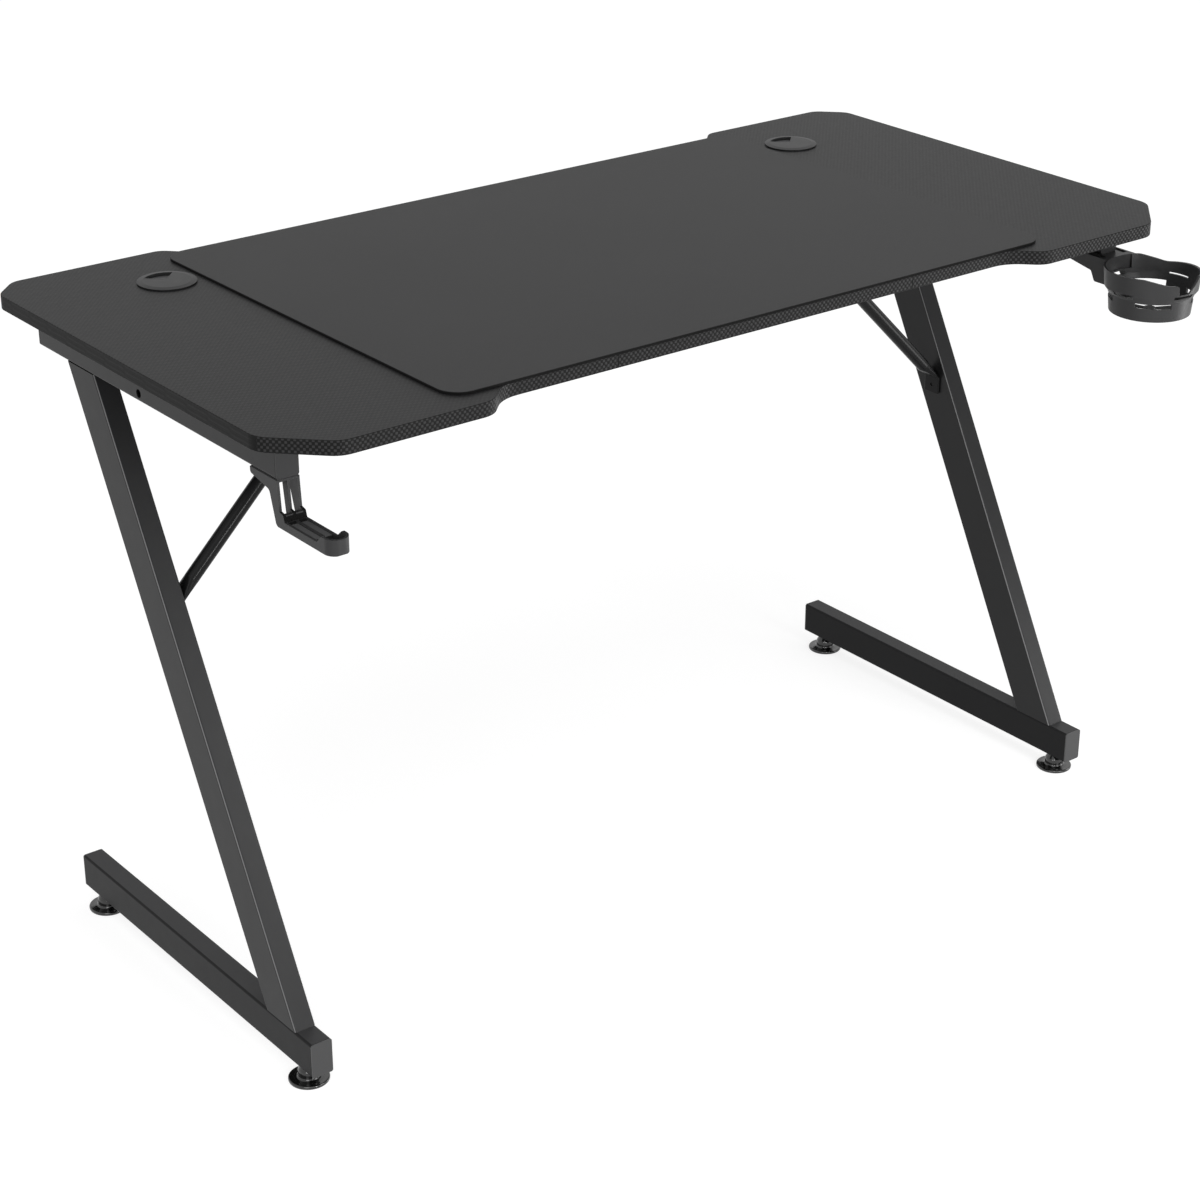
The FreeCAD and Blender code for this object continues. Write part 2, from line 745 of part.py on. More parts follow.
def end_caps(label, x, z, front, length, height):
    """Make the two moulded caps that close a lying tube, each with a fine groove against the tube."""
    inside = [f"{size} - 2 * tube_wall - 2 * fit_clearance" for size in ("tube_width", height)]
    hollow = [f"{size} - 2 * end_plug_wall" for size in inside]
    collar = [f"{size} - 2 * end_cap_groove" for size in ("tube_width", height)]
    for end in ENDS:
        into = end == "front"
        face = front if into else f"({front} + {length})"
        inward = "1" if into else "-1"
        name = f"{label}_{end}"
        flange = padded(f"{name}_flange", "front", f"-{face}", "end_cap_thickness - end_cap_groove",
                        rectangle(x, z, "tube_width", height, "tube_round"), back=into)
        neck = padded(f"{name}_neck", "front", f"-({face} + {inward} * (end_cap_thickness - end_cap_groove))",
                      "end_cap_groove", rectangle(x, z, *collar, "tube_round - end_cap_groove"), back=into)
        plug = padded(f"{name}_plug", "front", f"-({face} + {inward} * end_cap_thickness)", "end_plug_depth",
                      rectangle(x, z, *inside, INNER_ROUND), rectangle(x, z, *hollow), back=into)
        sub_part(f"{name}_cap", fused([flange, neck, plug]))


def post_tube(name, x):
    """Make the leaning post, cut level at the rail and at the foot bar."""
    sketch = doc.addObject("Sketcher::SketchObject", f"{name}_section")
    place(sketch, z=FOOT_TOP)
    hollow_depth = f"(post_depth - 2 * tube_wall) * {POST_STRETCH}"
    outer_depth = f"post_depth * {POST_STRETCH}"
    outline(sketch, rectangle(x, POST_FOOT_Y, "tube_width", outer_depth, "tube_round"))
    outline(sketch, rectangle(x, POST_FOOT_Y, "tube_width - 2 * tube_wall", hollow_depth, INNER_ROUND))
    post = doc.addObject("Part::Extrusion", name)
    post.Base = sketch
    post.DirMode = "Custom"
    post.Solid = True
    post.Dir = Vector(0, worth(POST_RUN), worth(POST_RISE))
    bind(post, **{"Dir.y": POST_RUN, "Dir.z": POST_RISE, "LengthFwd": f"{POST_RISE} * {POST_STRETCH}"})
    return post


FRAME_BOLT_HEIGHTS = [f"({CROSSBEAM_MIDDLE} + {half} * frame_bolt_spacing / 2)" for half in ("-1", "1")]
BRACE_SCREW_HEIGHT = "(brace_bend_height - tongue_hole_reach)"
BRACE_SCREW_REACH = f"({LEG_INNER} - brace_bend_reach - tongue_hole_reach)"
LEVELLER_PLACES = {"front": f"({FOOT_FRONT} + leveller_inset)", "rear": f"({FOOT_REAR} - leveller_inset)"}


def build_legs():
    """Make both welded leg frames and their end caps."""
    middle_height = "(leveller_height + foot_height / 2)"
    rail_middle = f"({RAIL_BOTTOM} + rail_height / 2)"
    for side, sign in SIDES.items():
        x = f"{sign} * {LEG_MIDDLE}"
        into = "-x" if side == "right" else "+x"
        outer, inner = f"{sign} * {LEG_OUTER}", f"{sign} * {LEG_INNER}"
        past = f"{sign} * overrun"
        drills = []
        for z in FRAME_BOLT_HEIGHTS:
            drills.append(rod(f"{outer} + {past}", CROSSBEAM_Y, z, into,
                              "frame_bolt_head + 2 * access_clearance", "tube_width / 2 + overrun"))
            drills.append(rod(x, CROSSBEAM_Y, z, into,
                              "frame_bolt_diameter + 2 * bolt_clearance", "tube_width / 2 + overrun"))
        for y in DESKTOP_BOLT_PLACES:
            drills.append(rod(x, y, f"{RAIL_BOTTOM} - overrun", "+z",
                              "desktop_bolt_diameter + 2 * bolt_clearance", "rail_height + 2 * overrun"))
        for across in ("-1", "1"):
            drills.append(rod(f"{x} + {across} * {ACCESSORY_SCREW_X}", ACCESSORY_SCREW_Y,
                              f"{RAIL_BOTTOM} - overrun", "+z",
                              "accessory_screw_diameter + 2 * thread_clearance", "tube_wall + 2 * overrun"))
        rail = level_tube(f"{side}_rail_tube", x, rail_middle, RAIL_FRONT, "rail_length", "rail_height")
        sub_part(f"{side}_top_rail", cut(rail, drills))
        end_caps(f"{side}_rail", x, rail_middle, RAIL_FRONT, "rail_length", "rail_height")
        foot = level_tube(f"{side}_foot_tube", x, middle_height, FOOT_FRONT, "foot_length", "foot_height")
        drills = [rod(x, y, "leveller_height - overrun", "+z", "stud_diameter + 2 * bolt_clearance",
                      "tube_wall + 2 * overrun") for y in LEVELLER_PLACES.values()]
        sub_part(f"{side}_foot_bar", cut(foot, drills))
        end_caps(f"{side}_foot", x, middle_height, FOOT_FRONT, "foot_length", "foot_height")
        hole = rod(f"{inner} - {past}", CROSSBEAM_Y, BRACE_SCREW_HEIGHT,
                   "+x" if side == "right" else "-x",
                   "brace_screw_diameter + 2 * thread_clearance", "overrun + tube_width / 2")
        sub_part(f"{side}_post", cut(post_tube(f"{side}_post_tube", x), [hole]))


def build_levellers():
    """Make the four screw feet: a moulded base on a stud, and the nuts welded in the foot bars."""
    pad, boss, top = "pad_diameter / 2", "boss_diameter / 2", "boss_top_diameter / 2"
    bore, bore_floor = "(stud_diameter / 2 + thread_clearance)", "(leveller_height - stud_sunk)"
    nuts = []
    for side, sign in SIDES.items():
        for end, y in LEVELLER_PLACES.items():
            x = f"{sign} * {LEG_MIDDLE}"
            base = revolved(f"{end}_{side}_leveller_base", [
                ("0", "0"),
                (pad, "0", "pad_edge_round"),
                (pad, "pad_lip_height", "pad_edge_round"),
                (f"{pad} - pad_lip_width", "pad_lip_height"),
                (boss, "pad_dish_height", "boss_fillet"),
                (boss, "boss_shoulder_height", "boss_dome"),
                (top, "leveller_height"),
                (bore, "leveller_height"),
                (bore, bore_floor),
                ("0", bore_floor),
            ])
            sub_part(f"{end}_{side}_leveller_base", place(base, x, y))
            sub_part(f"{end}_{side}_leveller_stud",
                     rod(x, y, bore_floor, "+z", "stud_diameter", "stud_sunk + stud_reach"))
            seat = "leveller_height + tube_wall"
            nut = block(f"{x} - nut_size / 2", f"{y} - nut_size / 2", seat,
                        "nut_size", "nut_size", "nut_thickness")
            thread = rod(x, y, f"{seat} - overrun", "+z", "stud_diameter + 2 * thread_clearance",
                         "nut_thickness + 2 * overrun")
            nuts.append(cut(nut, [thread]))
    sub_part("leveller_nuts", compound(nuts))


# Crossbeam and braces

def build_crossbeam():
    """Make the beam between the rails, its end plates, and the bolts through the rails."""
    tube_end = f"({LEG_INNER} - end_plate_thickness)"
    section = tube_section(CROSSBEAM_Y, CROSSBEAM_MIDDLE, "crossbeam_width", "crossbeam_height")
    beam = padded("crossbeam_tube", "side", f"-{tube_end}", f"2 * {tube_end}", *section)
    holes, bolts = [], []
    for side, sign in SIDES.items():
        into = "-x" if side == "right" else "+x"
        plate = block(f"{sign} * ({LEG_INNER} - end_plate_thickness / 2) - end_plate_thickness / 2",
                      f"{CROSSBEAM_Y} - crossbeam_width / 2", CROSSBEAM_BOTTOM,
                      "end_plate_thickness", "crossbeam_width", "crossbeam_height")
        threads = []
        for z in FRAME_BOLT_HEIGHTS:
            seat = f"{sign} * ({LEG_INNER} + tube_wall)"
            bolts.append(screw("frame_bolt", seat, CROSSBEAM_Y, z, into, "frame_bolt_length"))
            threads.append(rod(f"{sign} * ({LEG_INNER} + overrun)", CROSSBEAM_Y, z, into,
                               "frame_bolt_diameter + 2 * thread_clearance",
                               "end_plate_thickness + 2 * overrun"))
        sub_part(f"crossbeam_{side}_plate", cut(plate, threads))
        holes.append(rod(f"{sign} * {BRACE_SCREW_REACH}", CROSSBEAM_Y, f"{CROSSBEAM_BOTTOM} - overrun",
                         "+z", "brace_screw_diameter + 2 * thread_clearance", "tube_wall + 2 * overrun"))
    sub_part("crossbeam", cut(beam, holes))
    sub_part("crossbeam_bolts", compound(bolts))


def flat_round(centre, across, through, width, depth):
    """Draw a section of four edges: two flats along a width, and a round at each end of it."""
    half, end = across * ((width - depth) / 2), through * (depth / 2)
    tips = [centre + across * (width / 2), centre - across * (width / 2)]
    return Part.Wire([
        Part.makeLine(centre - half + end, centre + half + end),
        Part.Arc(centre + half + end, tips[0], centre + half - end).toShape(),
        Part.makeLine(centre + half - end, centre - half - end),
        Part.Arc(centre - half - end, tips[1], centre - half + end).toShape(),
    ])


def full_round(centre, across, through, radius):
    """Draw a circle as four arcs that face the four edges of a flattened section."""
    slope = math.sqrt(0.5) * radius
    quarters = ((-1, 1), (1, 1), (1, -1), (-1, -1))
    spots = [centre + across * (a * slope) + through * (b * slope) for a, b in quarters]
    middles = [centre + step * radius for step in (through, across, -through, -across)]
    ends = spots[1:] + spots[:1]
    return Part.Wire([Part.Arc(*trio).toShape() for trio in zip(spots, middles, ends)])


def brace_end(bend, along, tongue):
    """Shape a flattened end: the loft from the round tube to the bend, and the tongue past it."""
    across = Vector(0, 1, 0)
    turn = (tongue - along).normalize()
    through = across.cross(turn)
    depth = worth("tongue_thickness") / abs(turn.dot(tongue))
    section = flat_round(bend, across, through, worth("tongue_width"), depth)
    start = bend + along * worth("flatten_length")
    round_section = full_round(start, across, across.cross(-along), worth("brace_diameter / 2"))
    loft = Part.makeLoft([round_section, section], True, True)
    return [loft, Part.Face(section).extrude(tongue * worth("tongue_length"))]


def brace_shape():
    """Shape the right brace with its flattened ends, its bore and its countersunk holes."""
    half = worth("tongue_thickness / 2")
    low = Vector(worth(LEG_INNER) - half, worth(CROSSBEAM_Y), worth("brace_bend_height"))
    high = Vector(worth(f"{LEG_INNER} - brace_bend_reach"), low.y, worth(CROSSBEAM_BOTTOM) - half)
    along = (high - low).normalize()
    flat, radius = worth("flatten_length"), worth("brace_diameter / 2")
    length = (high - low).Length - 2 * flat
    tube = Part.makeCylinder(radius, length, low + along * flat, along)
    bore = Part.makeCylinder(radius - worth("brace_wall"), length, low + along * flat, along)
    pieces = brace_end(low, along, Vector(0, 0, -1)) + brace_end(high, -along, Vector(-1, 0, 0))
    seats = [
        (Vector(worth(LEG_INNER) - 2 * half, low.y, worth(BRACE_SCREW_HEIGHT)), Vector(1, 0, 0)),
        (Vector(worth(BRACE_SCREW_REACH), low.y, high.z - half), Vector(0, 0, 1)),
    ]
    clear, over = worth("thread_clearance"), worth("overrun")
    head, shank = worth("brace_screw_head / 2") + clear, worth("brace_screw_diameter / 2") + clear
    sink = worth("brace_screw_head_height")
    cuts = [bore]
    for seat, axis in seats:
        cuts.append(Part.makeCone(head, shank, sink, seat, axis))
        cuts.append(Part.makeCylinder(shank, over, seat, axis))
    return tube.fuse(pieces).cut(cuts).removeSplitter()


def build_braces():
    """Make both braces, which mirror each other, and their screws."""
    shape = brace_shape()
    screws = []
    for side, sign in SIDES.items():
        item = doc.addObject("Part::Feature", f"{side}_brace")
        item.Shape = shape if side == "right" else shape.mirror(Vector(), Vector(1, 0, 0))
        sub_part(f"{side}_brace", item)
        outward = "+x" if side == "right" else "-x"
        screws.append(screw("brace_screw", f"{sign} * ({LEG_INNER} - tongue_thickness)", CROSSBEAM_Y,
                            BRACE_SCREW_HEIGHT, outward, "brace_screw_length", sunk=True))
        screws.append(screw("brace_screw", f"{sign} * {BRACE_SCREW_REACH}", CROSSBEAM_Y,
                            f"{CROSSBEAM_BOTTOM} - tongue_thickness", "+z", "brace_screw_length", sunk=True))
    sub_part("brace_screws", compound(screws))


def build_desktop_bolts():
    """Make the bolts that pass up through the rails into the desktop's inserts."""
    bolts = []
    for sign in SIDES.values():
        for y in DESKTOP_BOLT_PLACES:
            bolts.append(screw("desktop_bolt", f"{sign} * {LEG_MIDDLE}", y, RAIL_BOTTOM, "+z",
                               "rail_height + insert_length"))
    sub_part("desktop_bolts", compound(bolts))


# Accessories

def accessory_screws(label, side, plate):
    """Make the two screws that hold an accessory's plate under a rail."""
    screws = []
    for across in ("-1", "1"):
        x = f"{SIDES[side]} * {LEG_MIDDLE} + {across} * {ACCESSORY_SCREW_X}"
        screws.append(screw("accessory_screw", x, ACCESSORY_SCREW_Y, f"{RAIL_BOTTOM} - {plate}", "+z",
                            "accessory_screw_length"))
    sub_part(label, compound(screws))


def accessory_holes(middle, y, z, plate):
    """Make the clearance holes for an accessory's two screws."""
    return [rod(f"{middle} + {across} * {ACCESSORY_SCREW_X}", y, f"{z} - {plate} - overrun", "+z",
                "accessory_screw_diameter + 2 * bolt_clearance", f"{plate} + 2 * overrun")
            for across in ("-1", "1")]


HOOK_BASE = f"({RAIL_BOTTOM} - hook_drop)"
HOOK_ARM = f"({HOOK_BASE} + hook_arm_height)"
HOOK_LIP = f"({HOOK_BASE} + hook_lip_height)"
HOOK_HEEL = f"({HOOK_BASE} + hook_heel_height)"
HOOK_TIP = f"({RAIL_FRONT} - hook_reach)"
HOOK_LIP_START = f"({HOOK_TIP} + hook_lip_length)"
HOOK_REAR = f"({RAIL_FRONT} + hook_plate_length)"


def hook_profile():
    """Make the hook's side view as a block: plate, web, heel, arm and upturned lip."""
    front, top = RAIL_FRONT, f"({RAIL_BOTTOM} - hook_top_gap)"
    return padded("hook_profile", "side", f"-{LEG_OUTER}", "tube_width", [
        (HOOK_REAR, top),
        (HOOK_REAR, f"{RAIL_BOTTOM} - hook_plate_edge", "hook_top_plate"),
        (f"{front} + hook_web_root", f"{RAIL_BOTTOM} - hook_plate_root", "hook_web_round"),
        (f"{front} + hook_web_foot", HOOK_BASE, "hook_web_round"),
        (HOOK_TIP, HOOK_BASE, "hook_corner_round"),
        (HOOK_TIP, HOOK_LIP),
        (HOOK_LIP_START, HOOK_LIP, "hook_lip_round"),
        (f"{HOOK_LIP_START} + hook_lip_slope", HOOK_ARM),
        (f"{front} - hook_heel_length", HOOK_ARM),
        (f"{front} - hook_heel_face", HOOK_HEEL, "hook_corner_round"),
        (f"{front} - hook_web_foot / 2", f"{HOOK_HEEL} + hook_corner_round"),
        (front, f"{RAIL_BOTTOM} - hook_top_plate"),
        (front, top),
    ])


def hook_plan(name, rim, rear, bottom):
    """Make a block of the hook's plan with its round nose, set in by a rim."""
    length = f"({rear} - {HOOK_TIP} - ({rim}))"
    width = f"(tube_width - 2 * ({rim}))"
    corners = rectangle(f"-{LEG_MIDDLE}", f"{rear} - {length} / 2", width, length)
    nose = f"{width} / 2 - fit_clearance"
    corners = [corner + (nose,) if number < len(ENDS) else corner for number, corner in enumerate(corners)]
    return padded(name, "top", bottom, "hook_drop + 2 * overrun", corners)


def hook_hollows():
    """Make what is taken from the hook: cells in its web, panels in its arm and a pocket in its nose."""
    front, plate = RAIL_FRONT, f"({RAIL_BOTTOM} - hook_top_plate)"
    cell_floor, panel = f"({HOOK_BASE} + hook_cell_floor)", f"({HOOK_ARM} - hook_panel_drop)"
    behind, ahead = f"({HOOK_REAR} + overrun)", f"({front} - hook_heel_length - overrun)"
    heel, panel_end = f"({front} - hook_heel_face)", f"({front} - hook_panel_end)"
    above = f"({HOOK_HEEL} + overrun)"
    tools = []
    for rim in (f"-{LEG_OUTER} + hook_side_rim", f"-{LEG_INNER} - hook_side_rim - {HOOK_SLOT}"):
        tools.append(padded("hook_cell", "side", rim, HOOK_SLOT, [
            (ahead, HOOK_HEEL),
            (f"{heel} + hook_heel_wall", HOOK_HEEL),
            (f"{heel} + hook_heel_wall", cell_floor),
            (behind, cell_floor),
            (behind, plate),
            (ahead, plate),
        ]))
        tools.append(padded("hook_panel", "side", rim, HOOK_SLOT, [
            (panel_end, panel),
            (heel, panel, "hook_heel_fillet"),
            (heel, above),
            (panel_end, above),
        ]))
    between = (f"-{LEG_OUTER} + hook_side_rim", "tube_width - 2 * hook_side_rim")
    tools.append(padded("hook_rib_trim", "side", *between, [
        (f"{front} + hook_rib_root", plate),
        (f"{front} + hook_rib_foot", cell_floor),
        (behind, cell_floor),
        (behind, plate),
    ]))
    tools.append(hook_plan("hook_pocket", "hook_side_rim", panel_end, f"{HOOK_BASE} + hook_pocket_floor"))
    return tools


def build_hook():
    """Make the headset hook: a ribbed moulding with a cradle arm and an upturned round nose."""
    whole = common(hook_profile(), hook_plan("hook_plan", "0", HOOK_REAR, f"{HOOK_BASE} - overrun"))
    corner = (f"-{LEG_OUTER} + hook_top_gap", f"{RAIL_FRONT} + hook_top_gap")
    seat = block(*corner, f"{RAIL_BOTTOM} - hook_top_plate", "tube_width - 2 * hook_top_gap",
                 "hook_plate_length - 2 * hook_top_gap", "hook_top_plate")
    holes = accessory_holes(f"-{LEG_MIDDLE}", ACCESSORY_SCREW_Y, RAIL_BOTTOM, "hook_top_plate")
    sub_part("headset_hook", cut(fused([whole, seat]), hook_hollows() + holes))
    accessory_screws("hook_screws", "left", "hook_top_plate")


def ring_slot(bottom, height, middle, sweep):
    """Make a curved bar about the Z axis, centred on an angle, to cut a slot in the cup holder's wall."""
    start = f"{middle} - ({sweep}) / 2"
    outer = sector(f"{BULGE_RADIUS} + overrun", bottom, height, start, sweep)
    core = sector(CUP_CORE, f"{bottom} - overrun", f"{height} + 2 * overrun", "0", f"{FULL_TURN}")
    return cut(outer, [core])


def cup_loft(name, levels, inset):
    """Loft a long round through levels of (height, bulge), set in by a wall from the tapered outside."""
    sections = []
    for height, bulge in levels:
        sketch = doc.addObject("Sketcher::SketchObject", f"{name}_section")
        radius = f"(cup_top_diameter / 2 + {CUP_TAPER} * ({height}) - {inset})"
        length, corner = f"2 * ({radius} + {bulge})", f"{radius} - fit_clearance"
        outline(sketch, rectangle("0", "0", length, f"2 * {radius}", corner))
        bind(place(sketch, z=height), **{"Placement.Rotation.Angle": f"{QUARTER_TURN} + cup_turn"})
        sections.append(sketch)
    loft = doc.addObject("Part::Loft", name)
    loft.Sections = sections
    loft.Solid = True
    loft.Ruled = True
    return loft


# The slots under the bulges: the ring's side, the end of the bulge, an extra turn, a lift and a height
BULGE_SLOTS = (
    (1, "1", "0", "0", "bulge_slot_height"),
    (1, "-1", "left_bulge_slot_turn", "rear_bulge_slot_lift", "bulge_slot_height"),
    (3, "-1", "0", "0", "bulge_slot_height"),
    (3, "1", "0", "right_bulge_slot_lift", "right_bulge_slot_height"),
)


def cup_slots():
    """Make the slots under the ring's two bulges and low in its four sides, the rear ones higher."""
    tools = []
    for number in range(CUP_SIDES):
        middle = f"{number} * {QUARTER_TURN} + cup_turn"
        lift = "rear_wall_slot_lift" if number == CUP_REAR_SIDE else "0"
        low = "-wall_slot_drop - wall_slot_height"
        tools.append(ring_slot(low, f"wall_slot_height + {lift}", middle, "wall_slot_angle"))
    for side, end, turn, lift, height in BULGE_SLOTS:
        spot = f"{side} * {QUARTER_TURN} + cup_turn + {end} * bulge_slot_spread_angle / 2 + {turn}"
        low = f"{lift} - bulge_slot_drop - bulge_slot_height"
        tools.append(ring_slot(low, height, spot, "bulge_slot_angle"))
    return tools


def floor_windows():
    """Make the windows between the floor's spokes."""
    tools = []
    for number in range(FLOOR_WINDOWS):
        spot = f"{number * FULL_TURN / FLOOR_WINDOWS} + floor_turn"
        outer = sector("cup_foot_diameter / 2 - cup_wall - floor_rim", "-cup_height - overrun",
                       "cup_floor + 2 * overrun", f"{spot} - floor_window_angle / 2", "floor_window_angle")
        hub = sector("floor_hub / 2", "-cup_height - 2 * overrun", "cup_floor + 4 * overrun",
                     "0", f"{FULL_TURN}")
        tools.append(cut(outer, [hub]))
    return tools


def build_cup_holder():
    """Make the cup holder: a tapered ring with two bulges, a spoked floor and a bracket under the rail."""
    flare = "(-bulge_depth - bulge_flare)"
    between = [(flare, "cup_waist"), ("-bulge_depth", "cup_bulge")]
    outside = [("-cup_height", "cup_waist"), *between, ("0", "cup_bulge")]
    inside = [("(cup_floor - cup_height)", "cup_waist"), *between, ("overrun", "cup_bulge")]
    ring = cup_loft("cup_outside", outside, "0")
    tools = [cup_loft("cup_inside", inside, "cup_wall"), rim_wave(), handle_notch()]
    tools += cup_slots() + floor_windows() + bracket_hollows(ring)
    tools += accessory_holes("0", f"{ACCESSORY_SCREW_Y} - {RAIL_FRONT} + cup_reach", "0", "bracket_plate")
    holder = cut(fused([ring, cup_bracket()]), tools)
    sub_part("cup_holder", place(holder, LEG_MIDDLE, f"{RAIL_FRONT} - cup_reach", RAIL_BOTTOM))
    accessory_screws("cup_holder_screws", "right", "bracket_plate")


def cup_bracket():
    """Make the bracket's block, from the ring's middle back under the rail."""
    rear = "cup_reach + bracket_length"
    return padded("cup_bracket", "side", "-bracket_width / 2", "bracket_width", [
        (rear, "0"),
        (rear, "-bracket_edge"),
        ("cup_reach + bracket_step_reach", "-bracket_step", "bracket_round"),
        ("cup_reach + bracket_step_reach - bracket_step_slope", "-bracket_depth", "bracket_round"),
        ("0", "-bracket_depth"),
        ("0", "0"),
    ])


def bracket_hollows(ring):
    """Make the hollows under the bracket's plate, the dips beside the rail and a recess in the ring."""
    start, rear = f"({BULGE_RADIUS} + cup_wall)", "(cup_reach + bracket_length)"
    width = "(bracket_width - 3 * bracket_wall) / 2"
    tools = [block(x, start, "-bracket_depth - overrun", width, f"{rear} - {start} - bracket_wall",
                   "bracket_depth + overrun - bracket_plate")
             for x in ("bracket_wall - bracket_width / 2", "bracket_wall / 2")]
    gusset = block("bracket_wall - bracket_width / 2", "0", "-bracket_depth - overrun",
                   "bracket_width - 2 * bracket_wall", "cup_reach + bracket_step_reach",
                   "bracket_depth + overrun - bracket_step")
    tools.append(cut(gusset, [ring]))
    beside = "(tube_width / 2 + bracket_lip_gap)"
    dip = f"(bracket_width / 2 - bracket_lip - {beside})"
    for x in (f"-{beside} - {dip}", beside):
        tools.append(block(x, start, "-bracket_lip_height", dip, f"{rear} - {start} + overrun",
                           "bracket_lip_height + overrun"))
    tools.append(sector("cup_top_diameter / 2 + bracket_recess_reach", "-bracket_recess_depth",
                        "bracket_recess_depth + overrun",
                        "bracket_recess_turn - bracket_recess_angle / 2", "bracket_recess_angle"))
    return tools


def rim_wave():
    """Make the long wave that lowers the rim over the right half of the ring."""
    reach = f"({BULGE_RADIUS} + overrun)"
    wave = padded("rim_wave", "front", f"-{reach}", f"2 * {reach}", [
        ("-rim_dip_start - rim_dip_lead", "overrun"),
        ("-rim_dip_start - rim_dip_lead", "rim_dip_lead_rise"),
        ("-rim_dip_start", "0", "rim_dip_round"),
        ("rim_dip_low", "-rim_dip", "rim_dip_round"),
        ("rim_dip_end", "-rim_dip_end_drop"),
        ("rim_dip_end", "overrun"),
    ])
    return bind(wave, **{"Placement.Rotation.Angle": "-cup_turn"})


def handle_notch():
    """Make the notch in the front of the ring, steep on its left and ramped on its right."""
    shoulder = "(-notch_left - notch_lean)"
    return padded("handle_notch", "front", CUP_CORE, f"{BULGE_RADIUS} + overrun - {CUP_CORE}", [
        (f"{shoulder} - notch_shoulder", "overrun"),
        (f"{shoulder} - notch_shoulder", "notch_shoulder_rise - notch_shoulder_drop"),
        (shoulder, "-notch_shoulder_drop", "notch_round"),
        ("-notch_left", "-notch_depth", "notch_round"),
        ("notch_right", "-notch_depth", "notch_round"),
        ("notch_right + notch_ramp", "0"),
        ("notch_right + notch_ramp", "overrun"),
    ])


def write_parts():
    """Check every object, then write each sub-part's solids to its own file."""
    doc.recompute()
    for item in doc.Objects:
        faults = {"Invalid", "Error"} & set(item.State)
        if faults:
            raise ValueError(f"{item.Label} did not rebuild: {item.getStatusString()}")
    for label, item in SUB_PARTS.items():
        if item.Shape.isNull() or not item.Shape.isValid() or not item.Shape.Solids:
            raise ValueError(f"{label} has no valid solid")
    os.makedirs("parts", exist_ok=True)
    for label, item in SUB_PARTS.items():
        item.Shape.exportStep(f"parts/{label}.step")
        box = item.Shape.BoundBox
        print(f"{label}: {len(item.Shape.Solids)} solids, {item.Shape.Volume:.0f} mm3, "
              f"{box.XLength:.1f} x {box.YLength:.1f} x {box.ZLength:.1f}")


build_desktop()
build_mat()
build_grommets()
build_legs()
build_levellers()
build_crossbeam()
build_braces()
build_desktop_bolts()
build_hook()
build_cup_holder()
write_parts()
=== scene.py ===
"""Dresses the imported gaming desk: finishes for every node, the desk mat, the studio and the camera."""
from __future__ import annotations

import json
import logging
import math
from dataclasses import dataclass, replace
from enum import Enum
from typing import Iterable, Optional, Union

import bmesh
import bpy
from mathutils import Euler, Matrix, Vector

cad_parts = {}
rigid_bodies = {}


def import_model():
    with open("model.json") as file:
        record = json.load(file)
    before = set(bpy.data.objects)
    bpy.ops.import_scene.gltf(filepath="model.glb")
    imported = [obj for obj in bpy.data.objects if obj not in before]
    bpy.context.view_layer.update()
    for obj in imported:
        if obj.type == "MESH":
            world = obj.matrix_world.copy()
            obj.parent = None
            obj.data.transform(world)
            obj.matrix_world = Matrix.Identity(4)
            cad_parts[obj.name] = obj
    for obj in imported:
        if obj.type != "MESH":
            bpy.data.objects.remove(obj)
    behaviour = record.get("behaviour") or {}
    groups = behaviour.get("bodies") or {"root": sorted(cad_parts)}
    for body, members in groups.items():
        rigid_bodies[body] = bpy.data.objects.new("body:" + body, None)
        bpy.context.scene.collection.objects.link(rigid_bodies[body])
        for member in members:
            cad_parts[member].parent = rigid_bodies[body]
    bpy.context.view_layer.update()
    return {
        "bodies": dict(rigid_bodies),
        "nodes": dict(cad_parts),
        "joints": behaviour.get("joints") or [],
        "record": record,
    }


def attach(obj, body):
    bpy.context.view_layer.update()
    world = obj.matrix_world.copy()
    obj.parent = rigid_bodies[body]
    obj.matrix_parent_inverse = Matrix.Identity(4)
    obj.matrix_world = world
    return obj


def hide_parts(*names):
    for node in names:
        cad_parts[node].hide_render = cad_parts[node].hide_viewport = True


LOG = logging.getLogger("gaming_desk")

Colour = tuple[float, float, float]
Point = tuple[float, float, float]
Span = tuple[float, float]
Socket = bpy.types.NodeSocket
Amount = Union[Socket, float, tuple[float, ...]]
MM = 0.001


class Sum(Enum):
    """The arithmetic that the finishes use."""

    ADD = "ADD"
    TAKE = "SUBTRACT"
    TIMES = "MULTIPLY"
    OVER = "DIVIDE"
    SINE = "SINE"
    COSINE = "COSINE"
    ANGLE = "ARCTAN2"
    ROUND = "ROUND"
    SIZE = "ABSOLUTE"
    ABOVE = "GREATER_THAN"
    MOST = "MAXIMUM"
    LEAST = "MINIMUM"


class Mix(Enum):
    """What is mixed: Blender's name for it, and the places of both inputs and of the output on the node."""

    NUMBERS = ("FLOAT", 2, 3, 0)
    COLOURS = ("RGBA", 6, 7, 2)


class Side(Enum):
    """The two ends of the desk."""

    LEFT = "left"
    RIGHT = "right"


class End(Enum):
    """The front and the rear of a leg frame."""

    FRONT = "front"
    REAR = "rear"


@dataclass(frozen=True)
class Cloud:
    """A cloudy noise: its clouds per metre, the finer clouds laid over them, and factors on X, Y and Z."""

    scale: float
    detail: float
    stretch: Optional[Point] = None


